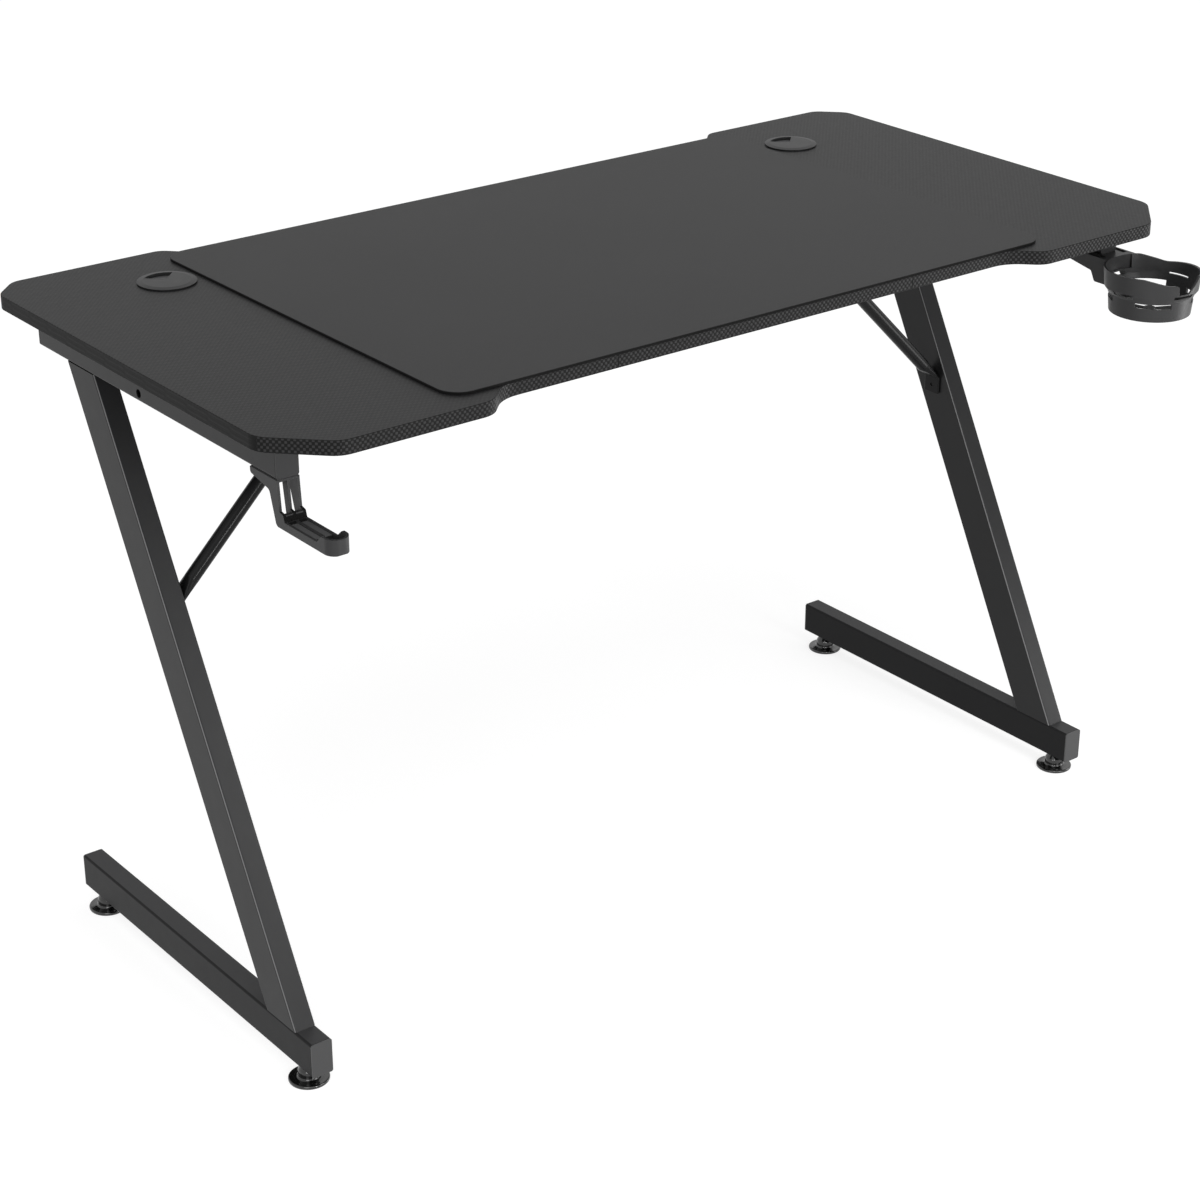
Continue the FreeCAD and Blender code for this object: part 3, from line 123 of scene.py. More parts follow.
class Wiring:
    """A node tree, with short calls for the nodes that finishes and the studio are made of."""

    def __init__(self, tree: bpy.types.NodeTree) -> None:
        """Take up the node tree of a material or of the world."""
        self.nodes = tree.nodes
        self.links = tree.links

    def first(self, kind: str) -> bpy.types.Node:
        """Find the first node of a type that the tree starts with."""
        return next(node for node in self.nodes if node.type == kind)

    def seen(self) -> Socket:
        """Give 1 where the camera sees the surface straight, in a gloss or through glass, else 0.

        Returns:
            The 1 or 0.
        """
        path = self.add("ShaderNodeLightPath").outputs
        straight = self.sum(Sum.MOST, path["Is Camera Ray"], path["Is Glossy Ray"])
        return self.sum(Sum.MOST, straight, path["Is Transmission Ray"])

    def add(self, kind: str, **settings: object) -> bpy.types.Node:
        """Add one node.

        Args:
            kind: Blender's name for the node.
            settings: The node's own choices.

        Returns:
            The new node.
        """
        node = self.nodes.new(kind)
        for name, choice in settings.items():
            setattr(node, name, choice)
        return node

    def feed(self, amount: Amount, socket: Socket) -> None:
        """Link a socket to another, or set its number or colour.

        Args:
            amount: A socket, a number or a colour.
            socket: Where it goes.
        """
        if isinstance(amount, bpy.types.NodeSocket):
            self.links.new(amount, socket)
        else:
            socket.default_value = amount

    def sum(self, how: Sum, first: Amount, second: Amount = 0.0) -> Socket:
        """Do one step of arithmetic.

        Args:
            how: The kind of step.
            first: Its first number.
            second: Its second number, where it has one.

        Returns:
            The result.
        """
        node = self.add("ShaderNodeMath", operation=how.value)
        self.feed(first, node.inputs[0])
        self.feed(second, node.inputs[1])
        return node.outputs[0]

    def against(self, amount: Socket) -> Socket:
        """Turn a number's sign."""
        return self.sum(Sum.TIMES, amount, -1.0)

    def mix(self, what: Mix, factor: Amount, first: Amount, second: Amount) -> Socket:
        """Mix two numbers or two colours.

        Args:
            what: Which of them it mixes.
            factor: How much of the second one to take.
            first: What factor 0 gives.
            second: What factor 1 gives.

        Returns:
            The mixture.
        """
        kind, low, high, mixture = what.value
        node = self.add("ShaderNodeMix", data_type=kind)
        self.feed(factor, node.inputs[0])
        self.feed(first, node.inputs[low])
        self.feed(second, node.inputs[high])
        return node.outputs[mixture]

    def choose(self, factor: Amount, first: Amount, second: Amount) -> Socket:
        """Mix two numbers, the first at factor 0 and the second at factor 1."""
        return self.mix(Mix.NUMBERS, factor, first, second)

    def tint(self, factor: Amount, tone: Socket, colour: Colour) -> Socket:
        """Mix a plain colour into a tone, none of it at factor 0."""
        return self.mix(Mix.COLOURS, factor, tone, (*colour, 1.0))

    def ramp(self, factor: Socket, stops: Span, low: Colour, high: Colour) -> Socket:
        """Turn a number into a colour.

        Args:
            factor: The number.
            stops: Where the colours start to mix and where they end.
            low: The colour up to the first stop.
            high: The colour from the second stop.

        Returns:
            The colour.
        """
        node = self.add("ShaderNodeValToRGB")
        for element, stop, colour in zip(node.color_ramp.elements, stops, (low, high)):
            element.position = stop
            element.color = (*colour, 1.0)
        self.links.new(factor, node.inputs[0])
        return node.outputs[0]

    def place(self) -> Socket:
        """Give the point on the surface, in the object's own metres."""
        return self.add("ShaderNodeTexCoord").outputs["Object"]

    def parts(self, vector: Socket) -> tuple[Socket, Socket, Socket]:
        """Split a vector.

        Args:
            vector: The vector.

        Returns:
            Its X, Y and Z.
        """
        node = self.add("ShaderNodeSeparateXYZ")
        self.links.new(vector, node.inputs[0])
        return node.outputs[0], node.outputs[1], node.outputs[2]

    def facing(self) -> tuple[Socket, Socket, Socket]:
        """Give the X, Y and Z of the surface's normal."""
        return self.parts(self.add("ShaderNodeNewGeometry").outputs["Normal"])

    def noise(self, cloud: Cloud) -> Socket:
        """Make a cloudy noise over the object.

        Args:
            cloud: The clouds' sizes.

        Returns:
            The noise, from 0 to 1.
        """
        node = self.add("ShaderNodeTexNoise")
        node.inputs["Scale"].default_value = cloud.scale
        node.inputs["Detail"].default_value = cloud.detail
        vector = self.place()
        if cloud.stretch:
            mapping = self.add("ShaderNodeMapping")
            mapping.inputs["Scale"].default_value = cloud.stretch
            self.links.new(vector, mapping.inputs["Vector"])
            vector = mapping.outputs[0]
        self.links.new(vector, node.inputs["Vector"])
        return node.outputs["Fac"]

    def band(self, amount: Socket, span: Span) -> Socket:
        """Spread a number from 0 to 1 over another range.

        Args:
            amount: The number.
            span: What 0 becomes and what 1 becomes.

        Returns:
            The spread number.
        """
        node = self.add("ShaderNodeMapRange")
        self.links.new(amount, node.inputs["Value"])
        node.inputs["To Min"].default_value, node.inputs["To Max"].default_value = span
        return node.outputs[0]

    def step(self, amount: Socket, span: Span) -> Socket:
        """Rise smoothly from 0 to 1.

        Args:
            amount: The number that the step follows.
            span: Where the step starts and where it ends.

        Returns:
            The step.
        """
        node = self.add("ShaderNodeMapRange", interpolation_type="SMOOTHSTEP")
        self.links.new(amount, node.inputs["Value"])
        node.inputs["From Min"].default_value, node.inputs["From Max"].default_value = span
        return node.outputs[0]

    def bump(self, height: Socket, distance: float, strength: float) -> Socket:
        """Raise the surface by a height.

        Args:
            height: The height, from 0 to 1.
            distance: What 1 is, in metres.
            strength: How strongly it shows.

        Returns:
            The new normal.
        """
        node = self.add("ShaderNodeBump")
        node.inputs["Strength"].default_value = strength
        node.inputs["Distance"].default_value = distance
        self.links.new(height, node.inputs["Height"])
        return node.outputs[0]


class Recipe(Wiring):
    """A material with one principled shader."""

    def __init__(self, name: str) -> None:
        """Start a material.

        Args:
            name: The material's name.
        """
        self.material = bpy.data.materials.new(name)
        self.material.use_nodes = True
        super().__init__(self.material.node_tree)
        self.shader = self.first("BSDF_PRINCIPLED")

    def set(self, **amounts: Amount) -> None:
        """Set or link the shader's sockets, each named with _ for a space."""
        for name, amount in amounts.items():
            self.feed(amount, self.shader.inputs[name.replace("_", " ")])


@dataclass(frozen=True)
class CarbonFilm:
    """Black film pressed with staggered rows of short dashes, wrapped over the boards' tops and edges."""

    name: str = "carbon_film"
    ground: Colour = (0.002, 0.002, 0.002)
    dash: Colour = (0.050, 0.050, 0.051)
    half_long: float = 2.85 * MM
    half_wide: float = 3.0 * MM
    squareness: float = 2.0
    dash_rise: Span = (-0.15, 0.75)
    side_stretch: float = 14.0
    # Tones of the flats, of the front and rear edges and of the left and right sides. The film is one colour
    # all round: the front and rear edges' light dashes are painted glints, and the near-black left and right
    # sides are painted shade.
    top_tone: Span = (0.15, 0.33)
    edge_glint_tone: Span = (0.0, 0.60)
    side_shade_tone: Span = (0.0, 0.04)
    mottle: Cloud = Cloud(6.0, 3.0)
    mottle_tone: Span = (-0.01, 0.02)
    flat_rough: float = 0.48
    dash_rough: float = 0.34
    ground_rough: float = 0.54
    haze: Cloud = Cloud(240.0, 3.0)
    haze_rough: Span = (-0.04, 0.04)
    relief: float = 0.22 * MM
    relief_strength: float = 0.5
    flat_relief_share: float = 0.4
    specular: float = 0.13
    flat_above: float = 0.93
    side_above: float = 0.92
    # Painted shade: faces on the rounding between a flat and an edge, steeper than the first number, are
    # darkened by the second.
    crease_above: float = 0.12
    crease_shade_tone: float = 0.15
    # Painted shade: a dark line on the edges where the boards meet.
    seam_place: float = 200.0 * MM
    seam_half: float = 0.7 * MM
    seam_shade_tone: float = 0.25

    def seam(self, recipe: Recipe, flat: Socket) -> Socket:
        """Give the painted shade along the boards' seams.

        Args:
            recipe: The film's nodes.
            flat: 1 on the flats, where the seams stay as they are.

        Returns:
            A factor on the film's tone.
        """
        x, _, _ = recipe.parts(recipe.place())
        off = recipe.sum(Sum.SIZE, recipe.sum(Sum.TAKE, recipe.sum(Sum.SIZE, x), self.seam_place))
        clear = recipe.step(off, (self.seam_half, 2 * self.seam_half))
        return recipe.sum(Sum.MOST, recipe.choose(clear, self.seam_shade_tone, 1.0), flat)

    def along_edge(self, recipe: Recipe, side: Socket) -> Socket:
        """Measure along the edge, whichever eighth of a turn it faces, drawn out on the sides.

        Args:
            recipe: The film's nodes.
            side: 1 on the left and right edges.

        Returns:
            The run along the edge.
        """
        x, y, _ = recipe.parts(recipe.place())
        across, back, _ = recipe.facing()
        eighth = math.pi / 4
        turn = recipe.sum(Sum.OVER, recipe.sum(Sum.ANGLE, back, across), eighth)
        turn = recipe.sum(Sum.TIMES, recipe.sum(Sum.ROUND, turn), eighth)
        along = recipe.sum(
            Sum.TAKE,
            recipe.sum(Sum.TIMES, y, recipe.sum(Sum.COSINE, turn)),
            recipe.sum(Sum.TIMES, x, recipe.sum(Sum.SINE, turn)),
        )
        return recipe.sum(Sum.OVER, along, recipe.choose(side, 1.0, self.side_stretch))

    def weave(self, recipe: Recipe, flat: Socket, side: Socket) -> Socket:
        """Draw the dashes: along X on the flats, along the edge on the edges.

        Args:
            recipe: The film's nodes.
            flat: 1 on the flats.
            side: 1 on the left and right edges.

        Returns:
            1 on a dash, 0 between the dashes.
        """
        x, y, z = recipe.parts(recipe.place())
        run = recipe.choose(flat, self.along_edge(recipe, side), x)
        rise = recipe.choose(flat, z, y)
        wave_long = recipe.sum(Sum.SINE, recipe.sum(Sum.TIMES, run, math.pi / self.half_long))
        wave_long = recipe.sum(Sum.TIMES, wave_long, self.squareness)
        wave_long = recipe.sum(Sum.LEAST, recipe.sum(Sum.MOST, wave_long, -1.0), 1.0)
        wave_wide = recipe.sum(Sum.SINE, recipe.sum(Sum.TIMES, rise, math.pi / self.half_wide))
        return recipe.step(recipe.sum(Sum.TIMES, wave_long, wave_wide), self.dash_rise)

    def material(self) -> bpy.types.Material:
        """Make the film's material.

        Returns:
            The material.
        """
        recipe = Recipe(self.name)
        across, _, up = recipe.facing()
        level = recipe.sum(Sum.SIZE, up)
        flat = recipe.sum(Sum.ABOVE, level, self.flat_above)
        side = recipe.sum(Sum.ABOVE, recipe.sum(Sum.SIZE, across), self.side_above)
        crease_shade = recipe.sum(Sum.TAKE, recipe.sum(Sum.ABOVE, level, self.crease_above), flat)
        dash = self.weave(recipe, flat, side)
        # Painted light: lighter dashes on the front and rear edges as painted glints, darker left and right
        # sides as painted shade.
        tones = []
        for top, edge, end in zip(self.top_tone, self.edge_glint_tone, self.side_shade_tone):
            tones.append(recipe.choose(flat, recipe.choose(side, edge, end), top))
        tone = recipe.choose(dash, *tones)
        # Painted shade on the rounding between the flats and the edges.
        tone = recipe.sum(Sum.TIMES, tone, recipe.choose(crease_shade, 1.0, self.crease_shade_tone))
        # Painted shade along the seams.
        tone = recipe.sum(Sum.TIMES, tone, self.seam(recipe, flat))
        tone = recipe.sum(Sum.ADD, tone, recipe.band(recipe.noise(self.mottle), self.mottle_tone))
        rough = recipe.choose(recipe.sum(Sum.TAKE, dash, side), self.ground_rough, self.dash_rough)
        rough = recipe.choose(flat, rough, self.flat_rough)
        height = recipe.sum(Sum.TIMES, dash, recipe.choose(flat, 1.0, self.flat_relief_share))
        recipe.set(
            Base_Color=recipe.ramp(tone, (0.0, 1.0), self.ground, self.dash),
            Roughness=recipe.sum(Sum.ADD, rough, recipe.band(recipe.noise(self.haze), self.haze_rough)),
            Normal=recipe.bump(height, self.relief, self.relief_strength),
            Specular_IOR_Level=self.specular,
        )
        return recipe.material


@dataclass(frozen=True)
class MatCloth:
    """Smooth black cloth of the mat's face, finely knitted."""

    name: str = "mat_cloth"
    cloth: Colour = (0.0076, 0.0076, 0.0078)
    worn: Colour = (0.0094, 0.0094, 0.0097)
    wear: Cloud = Cloud(7.0, 4.0)
    wear_stops: Span = (0.3, 0.7)
    nap: Cloud = Cloud(900.0, 2.0)
    nap_rough: Span = (0.48, 0.58)
    thread: float = 0.55 * MM
    relief: float = 0.05 * MM
    relief_strength: float = 0.4
    specular: float = 0.215

    def material(self) -> bpy.types.Material:
        """Make the cloth's material.

        Returns:
            The material.
        """
        recipe = Recipe(self.name)
        x, y, _ = recipe.parts(recipe.place())
        threads = recipe.sum(
            Sum.TIMES,
            recipe.sum(Sum.SINE, recipe.sum(Sum.TIMES, x, math.pi / self.thread)),
            recipe.sum(Sum.SINE, recipe.sum(Sum.TIMES, y, math.pi / self.thread)),
        )
        recipe.set(
            Base_Color=recipe.ramp(recipe.noise(self.wear), self.wear_stops, self.cloth, self.worn),
            Roughness=recipe.band(recipe.noise(self.nap), self.nap_rough),
            Normal=recipe.bump(threads, self.relief, self.relief_strength),
            Specular_IOR_Level=self.specular,
        )
        return recipe.material


@dataclass(frozen=True)
class MatRubber:
    """Black foamed rubber of the mat's cut edge and underside."""

    name: str = "mat_rubber"
    skin: Colour = (0.007, 0.007, 0.007)
    pore: Colour = (0.003, 0.003, 0.003)
    foam: Cloud = Cloud(1800.0, 2.0)
    foam_stops: Span = (0.35, 0.6)
    foam_rough: Span = (0.8, 0.95)
    relief: float = 0.1 * MM
    relief_strength: float = 0.6
    specular: float = 0.1

    def material(self) -> bpy.types.Material:
        """Make the rubber's material.

        Returns:
            The material.
        """
        recipe = Recipe(self.name)
        pores = recipe.noise(self.foam)
        recipe.set(
            Base_Color=recipe.ramp(pores, self.foam_stops, self.pore, self.skin),
            Roughness=recipe.band(pores, self.foam_rough),
            Normal=recipe.bump(pores, self.relief, self.relief_strength),
            Specular_IOR_Level=self.specular,
        )
        return recipe.material


@dataclass(frozen=True)
class Coating:
    """A painted or moulded finish: a near-even tone, a fine grain and a gloss."""

    name: str
    low: Colour
    high: Colour
    rough: Span
    grain: Cloud
    relief: float
    relief_strength: float = 0.5
    mottle: Cloud = Cloud(9.0, 4.0)
    mottle_stops: Span = (0.25, 0.75)
    haze: Cloud = Cloud(60.0, 3.0)
    specular: float = 0.5
    metallic: float = 0.0
    coat: float = 0.0
    # Painted highlight: a lighter tone where the faces turn forwards and to the left.
    edge: Optional[Colour] = None
    edge_highlight_rise: Span = (0.42, 0.52)
    # Painted light: a lighter tone on the faces that look up, within a span of heights if one is given.
    painted_upper_light: Optional[Colour] = None
    upper_rise: Span = (0.98, 1.0)
    upper_span: Optional[Span] = None
    upper_fade: float = 0.1 * MM
    # Painted shade: a near-black tone, and a matt surface, on faces that look up and forwards.
    hollow_shade: Optional[Colour] = None
    hollow_rise: Span = (0.12, 0.24)
    hollow_rough: float = 0.95

    def edge_highlight_faces(self, recipe: Recipe) -> Socket:
        """Find the faces that look forwards and to the left, as on an edge between two flats, where a
        highlight is painted.

        Args:
            recipe: The finish's nodes.

        Returns:
            1 on those faces.
        """
        across, back, _ = recipe.facing()
        corner = recipe.sum(Sum.LEAST, recipe.against(across), recipe.against(back))
        return recipe.step(corner, self.edge_highlight_rise)

    def lit_upper_faces(self, recipe: Recipe) -> Socket:
        """Find the faces that look up, within the finish's span of heights if it has one, where light is
        painted.

        Args:
            recipe: The finish's nodes.

        Returns:
            1 on those faces.
        """
        _, _, up = recipe.facing()
        level = recipe.step(up, self.upper_rise)
        if not self.upper_span:
            return level
        _, _, height = recipe.parts(recipe.place())
        over, under = (recipe.step(height, (end, end + self.upper_fade)) for end in self.upper_span)
        return recipe.sum(Sum.TIMES, level, recipe.sum(Sum.TAKE, over, under))

    def shaded_hollow_faces(self, recipe: Recipe) -> Socket:
        """Find the faces that look up and forwards, as in the heel of a bend, where shade is painted.

        Args:
            recipe: The finish's nodes.

        Returns:
            1 on those faces.
        """
        _, back, up = recipe.facing()
        sloped = recipe.sum(Sum.LEAST, up, recipe.against(back))
        return recipe.step(sloped, self.hollow_rise)

    def colour(self, recipe: Recipe) -> Socket:
        """Mix the finish's colour, with a painted highlight on front left edges, painted light on faces that
        look up and painted shade in hollows that look up and forwards.

        Args:
            recipe: The finish's nodes.

        Returns:
            The colour.
        """
        tone = recipe.ramp(recipe.noise(self.mottle), self.mottle_stops, self.low, self.high)
        # Painted highlight on the front left edges.
        if self.edge:
            tone = recipe.tint(self.edge_highlight_faces(recipe), tone, self.edge)
        # Painted light on the faces that look up.
        if self.painted_upper_light:
            tone = recipe.tint(self.lit_upper_faces(recipe), tone, self.painted_upper_light)
        # Painted shade on faces that look up and forwards.
        if self.hollow_shade:
            tone = recipe.tint(self.shaded_hollow_faces(recipe), tone, self.hollow_shade)
        return tone

    def material(self) -> bpy.types.Material:
        """Make the finish's material.

        Returns:
            The material.
        """
        recipe = Recipe(self.name)
        rough = recipe.band(recipe.noise(self.haze), self.rough)
        if self.hollow_shade:
            rough = recipe.choose(self.shaded_hollow_faces(recipe), rough, self.hollow_rough)
        recipe.set(
            Base_Color=self.colour(recipe),
            Roughness=rough,
            Normal=recipe.bump(recipe.noise(self.grain), self.relief, self.relief_strength),
            Specular_IOR_Level=self.specular,
            Metallic=self.metallic,
            Coat_Weight=self.coat,
        )
        return recipe.material


@dataclass(frozen=True)
class Beech:
    """Plain beech of the dowels, with its grain along X."""

    name: str = "dowel_beech"
    pale: Colour = (0.62, 0.47, 0.31)
    brown: Colour = (0.45, 0.31, 0.18)
    grain: Cloud = Cloud(90.0, 4.0, stretch=(0.1, 1.0, 1.0))
    grain_stops: Span = (0.3, 0.7)
    rough: float = 0.6
    relief: float = 0.1 * MM
    relief_strength: float = 0.5

    def material(self) -> bpy.types.Material:
        """Make the wood's material.

        Returns:
            The material.
        """
        recipe = Recipe(self.name)
        grain = recipe.noise(self.grain)
        recipe.set(
            Base_Color=recipe.ramp(grain, self.grain_stops, self.brown, self.pale),
            Roughness=self.rough,
            Normal=recipe.bump(grain, self.relief, self.relief_strength),
        )
        return recipe.material


POWDER_COAT = Coating(
    name="powder_coat",
    low=(0.013, 0.013, 0.0135),
    high=(0.016, 0.016, 0.0165),
    rough=(0.32, 0.40),
    grain=Cloud(1400.0, 2.0),
    relief=0.05 * MM,
    specular=0.18,
)
# Painted highlight along the posts' front left edges.
POST_COAT = replace(POWDER_COAT, name="post_coat", edge=(0.16, 0.16, 0.163))
# Painted light: the foot bars' tops lighter than their sides.
FOOT_COAT = replace(POWDER_COAT, name="foot_coat", specular=0.08, painted_upper_light=(0.040, 0.040, 0.041))
BRACE_GLOSS = Coating(
    name="brace_gloss",
    low=(0.008, 0.008, 0.0083),
    high=(0.010, 0.010, 0.0103),
    rough=(0.22, 0.25),
    grain=Cloud(900.0, 2.0),
    relief=0.0004 * MM,
    specular=0.11,
)
CAP_MOULDING = Coating(
    name="cap_moulding",
    low=(0.040, 0.040, 0.041),
    high=(0.046, 0.046, 0.047),
    rough=(0.34, 0.44),
    grain=Cloud(2200.0, 2.0),
    relief=0.04 * MM,
)
RAIL_CAP_MOULDING = replace(
    CAP_MOULDING,
    name="rail_cap_moulding",
    low=(0.0215, 0.0215, 0.022),
    high=(0.0255, 0.0255, 0.026),
    specular=0.27,
)
GROMMET_MOULDING = Coating(
    name="grommet_moulding",
    low=(0.016, 0.016, 0.0165),
    high=(0.021, 0.021, 0.0215),
    rough=(0.42, 0.5),
    grain=Cloud(2400.0, 2.0),
    relief=0.04 * MM,
    specular=0.22,
)
# Painted light: the liner's upward faces, the shutter plate seen through the cap's window, lighter than the
# rest.
LINER_MOULDING = replace(GROMMET_MOULDING, name="liner_moulding", painted_upper_light=(0.10, 0.10, 0.102))
HOOK_MOULDING = Coating(
    name="hook_moulding",
    low=(0.032, 0.032, 0.033),
    high=(0.038, 0.038, 0.039),
    rough=(0.34, 0.42),
    grain=Cloud(2400.0, 2.0),
    relief=0.04 * MM,
    specular=0.2,
    # Painted light on the arm's upward panels.
    painted_upper_light=(0.115, 0.115, 0.117),
    upper_span=(642.5 * MM, 644.3 * MM),
    # Painted shade in the heel's hollows.
    hollow_shade=(0.003, 0.003, 0.003),
)
CUP_MOULDING = Coating(
    name="cup_moulding",
    low=(0.032, 0.032, 0.0325),
    high=(0.036, 0.036, 0.0365),
    rough=(0.36, 0.44),
    grain=Cloud(2400.0, 2.0),
    relief=0.02 * MM,
    specular=0.2,
)
FOOT_GLOSS = Coating(
    name="foot_gloss",
    low=(0.003, 0.003, 0.003),
    high=(0.005, 0.005, 0.005),
    rough=(0.12, 0.18),
    grain=Cloud(900.0, 2.0),
    relief=0.002 * MM,
    coat=0.4,
)
ZINC = Coating(
    name="zinc_plate",
    low=(0.55, 0.56, 0.58),
    high=(0.66, 0.67, 0.68),
    rough=(0.28, 0.42),
    grain=Cloud(1500.0, 2.0),
    relief=0.02 * MM,
    metallic=1.0,
)
BLACK_OXIDE = Coating(
    name="black_oxide",
    low=(0.018, 0.018, 0.019),
    high=(0.028, 0.028, 0.030),
    rough=(0.3, 0.42),
    grain=Cloud(1500.0, 2.0),
    relief=0.02 * MM,
    metallic=0.4,
)


def dress(nodes: Iterable[str], finish: bpy.types.Material, frame: dict) -> None:
    """Give CAD nodes a finish.

    Args:
        nodes: The nodes' names.
        finish: The material.
    """
    for node in nodes:
        mesh = frame["nodes"][node].data
        mesh.materials.clear()
        mesh.materials.append(finish)
        LOG.info("%s: %s", node, finish.name)


@dataclass
class Desktop:
    """The boards and what joins them."""

    boards: tuple[str, ...] = ("left", "middle", "right")
    hardware: tuple[str, ...] = ("seam_plate_screws", "desktop_inserts", "leveller_nuts")

    def nodes(self) -> list[str]:
        """Name the boards' nodes."""
        return [f"desktop_{board}_panel" for board in self.boards]

    def plates(self) -> list[str]:
        """Name the seam plates' nodes."""
        return [f"{side.value}_seam_{end.value}_plate" for side in Side for end in End]

    def dress(self, frame: dict) -> None:
        """Finish the boards, plates, dowels and their small hardware.
        """
        dress(self.nodes(), CarbonFilm().material(), frame)
        dress((*self.plates(), *self.hardware), ZINC.material(), frame)
        dress(["panel_dowels"], Beech().material(), frame)


@dataclass
class DeskMat:
    """The mat, cut from one sheet and laid on the boards."""

    length: float = 800 * MM
    depth: float = 550 * MM
    thickness: float = 3 * MM
    corner: float = 25 * MM
    corner_steps: int = 14
    ease: float = 0.7 * MM
    ease_shares: tuple[float, ...] = (0.34, 0.67, 1.0)
    cloth_from: float = 2.75 * MM
    centre: Span = (-2 * MM, 1.5 * MM)
    bottom: float = 740.5 * MM

    def outline(self, inset: float) -> list[Span]:
        """Draw the mat's outline.

        Args:
            inset: How far inside the cut edge it runs.

        Returns:
            Points in X and Y, anticlockwise.
        """
        radius = self.corner - inset
        half_x, half_y = self.length / 2 - self.corner, self.depth / 2 - self.corner
        points = []
        for quarter, (x, y) in enumerate(((1, 1), (-1, 1), (-1, -1), (1, -1))):
            for step in range(self.corner_steps + 1):
                angle = math.pi / 2 * (quarter + step / self.corner_steps)
                points.append((
                    self.centre[0] + x * half_x + radius * math.cos(angle),
                    self.centre[1] + y * half_y + radius * math.sin(angle),
                ))
        return points

    def rims(self) -> list[Span]:
        """Draw the side of the mat, from its underside up over the eased edge.

        Returns:
            Insets from the cut edge and heights over the boards.
        """
        rims = [(0.0, 0.0), (0.0, self.thickness - self.ease)]
        for share in self.ease_shares:
            angle = math.pi / 2 * share
            inset = self.ease * (1 - math.cos(angle))
            rims.append((inset, self.thickness - self.ease * (1 - math.sin(angle))))
        return rims

    def sheet(self) -> bpy.types.Mesh:
        """Make the mat's mesh: a loop of points at each rim, walls between them, and both faces.

        Returns:
            The mesh.
        """
        sheet = bmesh.new()
        loops = []
        for inset, height in self.rims():
            level = self.bottom + height
            loops.append([sheet.verts.new((x, y, level)) for x, y in self.outline(inset)])
        for low, high in zip(loops, loops[1:]):
            for index in range(len(low)):
                after = (index + 1) % len(low)
                sheet.faces.new((low[index], low[after], high[after], high[index]))
        sheet.faces.new(loops[-1])
        sheet.faces.new(list(reversed(loops[0])))
        mesh = bpy.data.meshes.new("desk_mat")
        sheet.to_mesh(mesh)
        sheet.free()
        return mesh

    def dress(self, mesh: bpy.types.Mesh) -> None:
        """Give the mat's face its cloth, and its cut edge and underside their rubber.

        Args:
            mesh: The mat's mesh.
        """
        for finish in (MatCloth(), MatRubber()):
            mesh.materials.append(finish.material())
        for face in mesh.polygons:
            face.material_index = 0 if face.center.z > self.bottom + self.cloth_from else 1

    def build(self) -> None:
        """Make the mat, dress it and lay it on the desk in place of its solid."""
        mesh = self.sheet()
        self.dress(mesh)
        mat = bpy.data.objects.new("desk_mat", mesh)
        bpy.context.collection.objects.link(mat)
        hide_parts("mouse_mat")
        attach(mat, "desk")
        Desktop().nodes()
        LOG.info("desk_mat: %d vertices", len(mesh.vertices))


@dataclass
class Grommets:
    """The cable grommets' liners and turning caps."""

    def dress(self, frame: dict) -> None:
        dress([f"grommet_cap_{side.value}" for side in Side], GROMMET_MOULDING.material(), frame)
        dress([f"grommet_liner_{side.value}" for side in Side], LINER_MOULDING.material(), frame)


@dataclass
class LegFrames:
    """Both Z-shaped frames, the crossbeam between them, the braces and their bolts."""

    bolts: tuple[str, ...] = ("crossbeam_bolts", "desktop_bolts")

    def pair(self, piece: str) -> list[str]:
        """Name the left and the right node of a piece."""
        return [f"{side.value}_{piece}" for side in Side]

    def dress(self, frame: dict) -> None:
        """Finish the tubes, their end caps and the bolts.
        """
        plates = [f"crossbeam_{side.value}_plate" for side in Side]
        dress(self.pair("top_rail") + plates + ["crossbeam"], POWDER_COAT.material(), frame)
        dress(self.pair("foot_bar"), FOOT_COAT.material(), frame)
        dress(self.pair("post"), POST_COAT.material(), frame)
        dress(self.pair("brace") + ["brace_screws"], BRACE_GLOSS.material(), frame)
        for tube, moulding in (("rail", RAIL_CAP_MOULDING), ("foot", CAP_MOULDING)):
            caps = [f"{side.value}_{tube}_{end.value}_cap" for side in Side for end in End]
            dress(caps, moulding.material(), frame)
        dress(self.bolts, BLACK_OXIDE.material(), frame)


@dataclass
class ScrewFeet:
    """The four levelling feet."""

    def names(self, piece: str) -> list[str]:
        """Name the four nodes of a piece, base or stud."""
        return [f"{end.value}_{side.value}_leveller_{piece}" for side in Side for end in End]

    def dress(self, frame: dict) -> None:
        dress(self.names("base"), FOOT_GLOSS.material(), frame)
        dress(self.names("stud"), ZINC.material(), frame)


@dataclass
class Accessories:
    """The headset hook, the cup holder and their screws."""

    screws: tuple[str, ...] = ("hook_screws", "cup_holder_screws")

    def dress(self, frame: dict) -> None:
        """Finish the mouldings and the screws.
        """
        dress(["headset_hook"], HOOK_MOULDING.material(), frame)
        dress(["cup_holder"], CUP_MOULDING.material(), frame)
        dress(self.screws, BLACK_OXIDE.material(), frame)


@dataclass(frozen=True)
class HighLamp:
    """One soft lamp, far off: its direction from the desk, and its spread as seen from there in degrees."""

    name: str = "high_lamp"
    toward: Point = (-0.35, -0.6, 1.0)
    distance: float = 3.0
    strength: float = 0.7
    spread: float = 40.0

    def build(self) -> None:
        """Hang the lamp and turn it to the desk."""
        light = bpy.data.lights.new(self.name, "SUN")
        light.energy = self.strength
        light.angle = math.radians(self.spread)
        lamp = bpy.data.objects.new(self.name, light)
        lamp.location = Vector(self.toward) * self.distance
        lamp.rotation_euler = Vector(self.toward).to_track_quat("Z", "Y").to_euler()
        bpy.context.collection.objects.link(lamp)


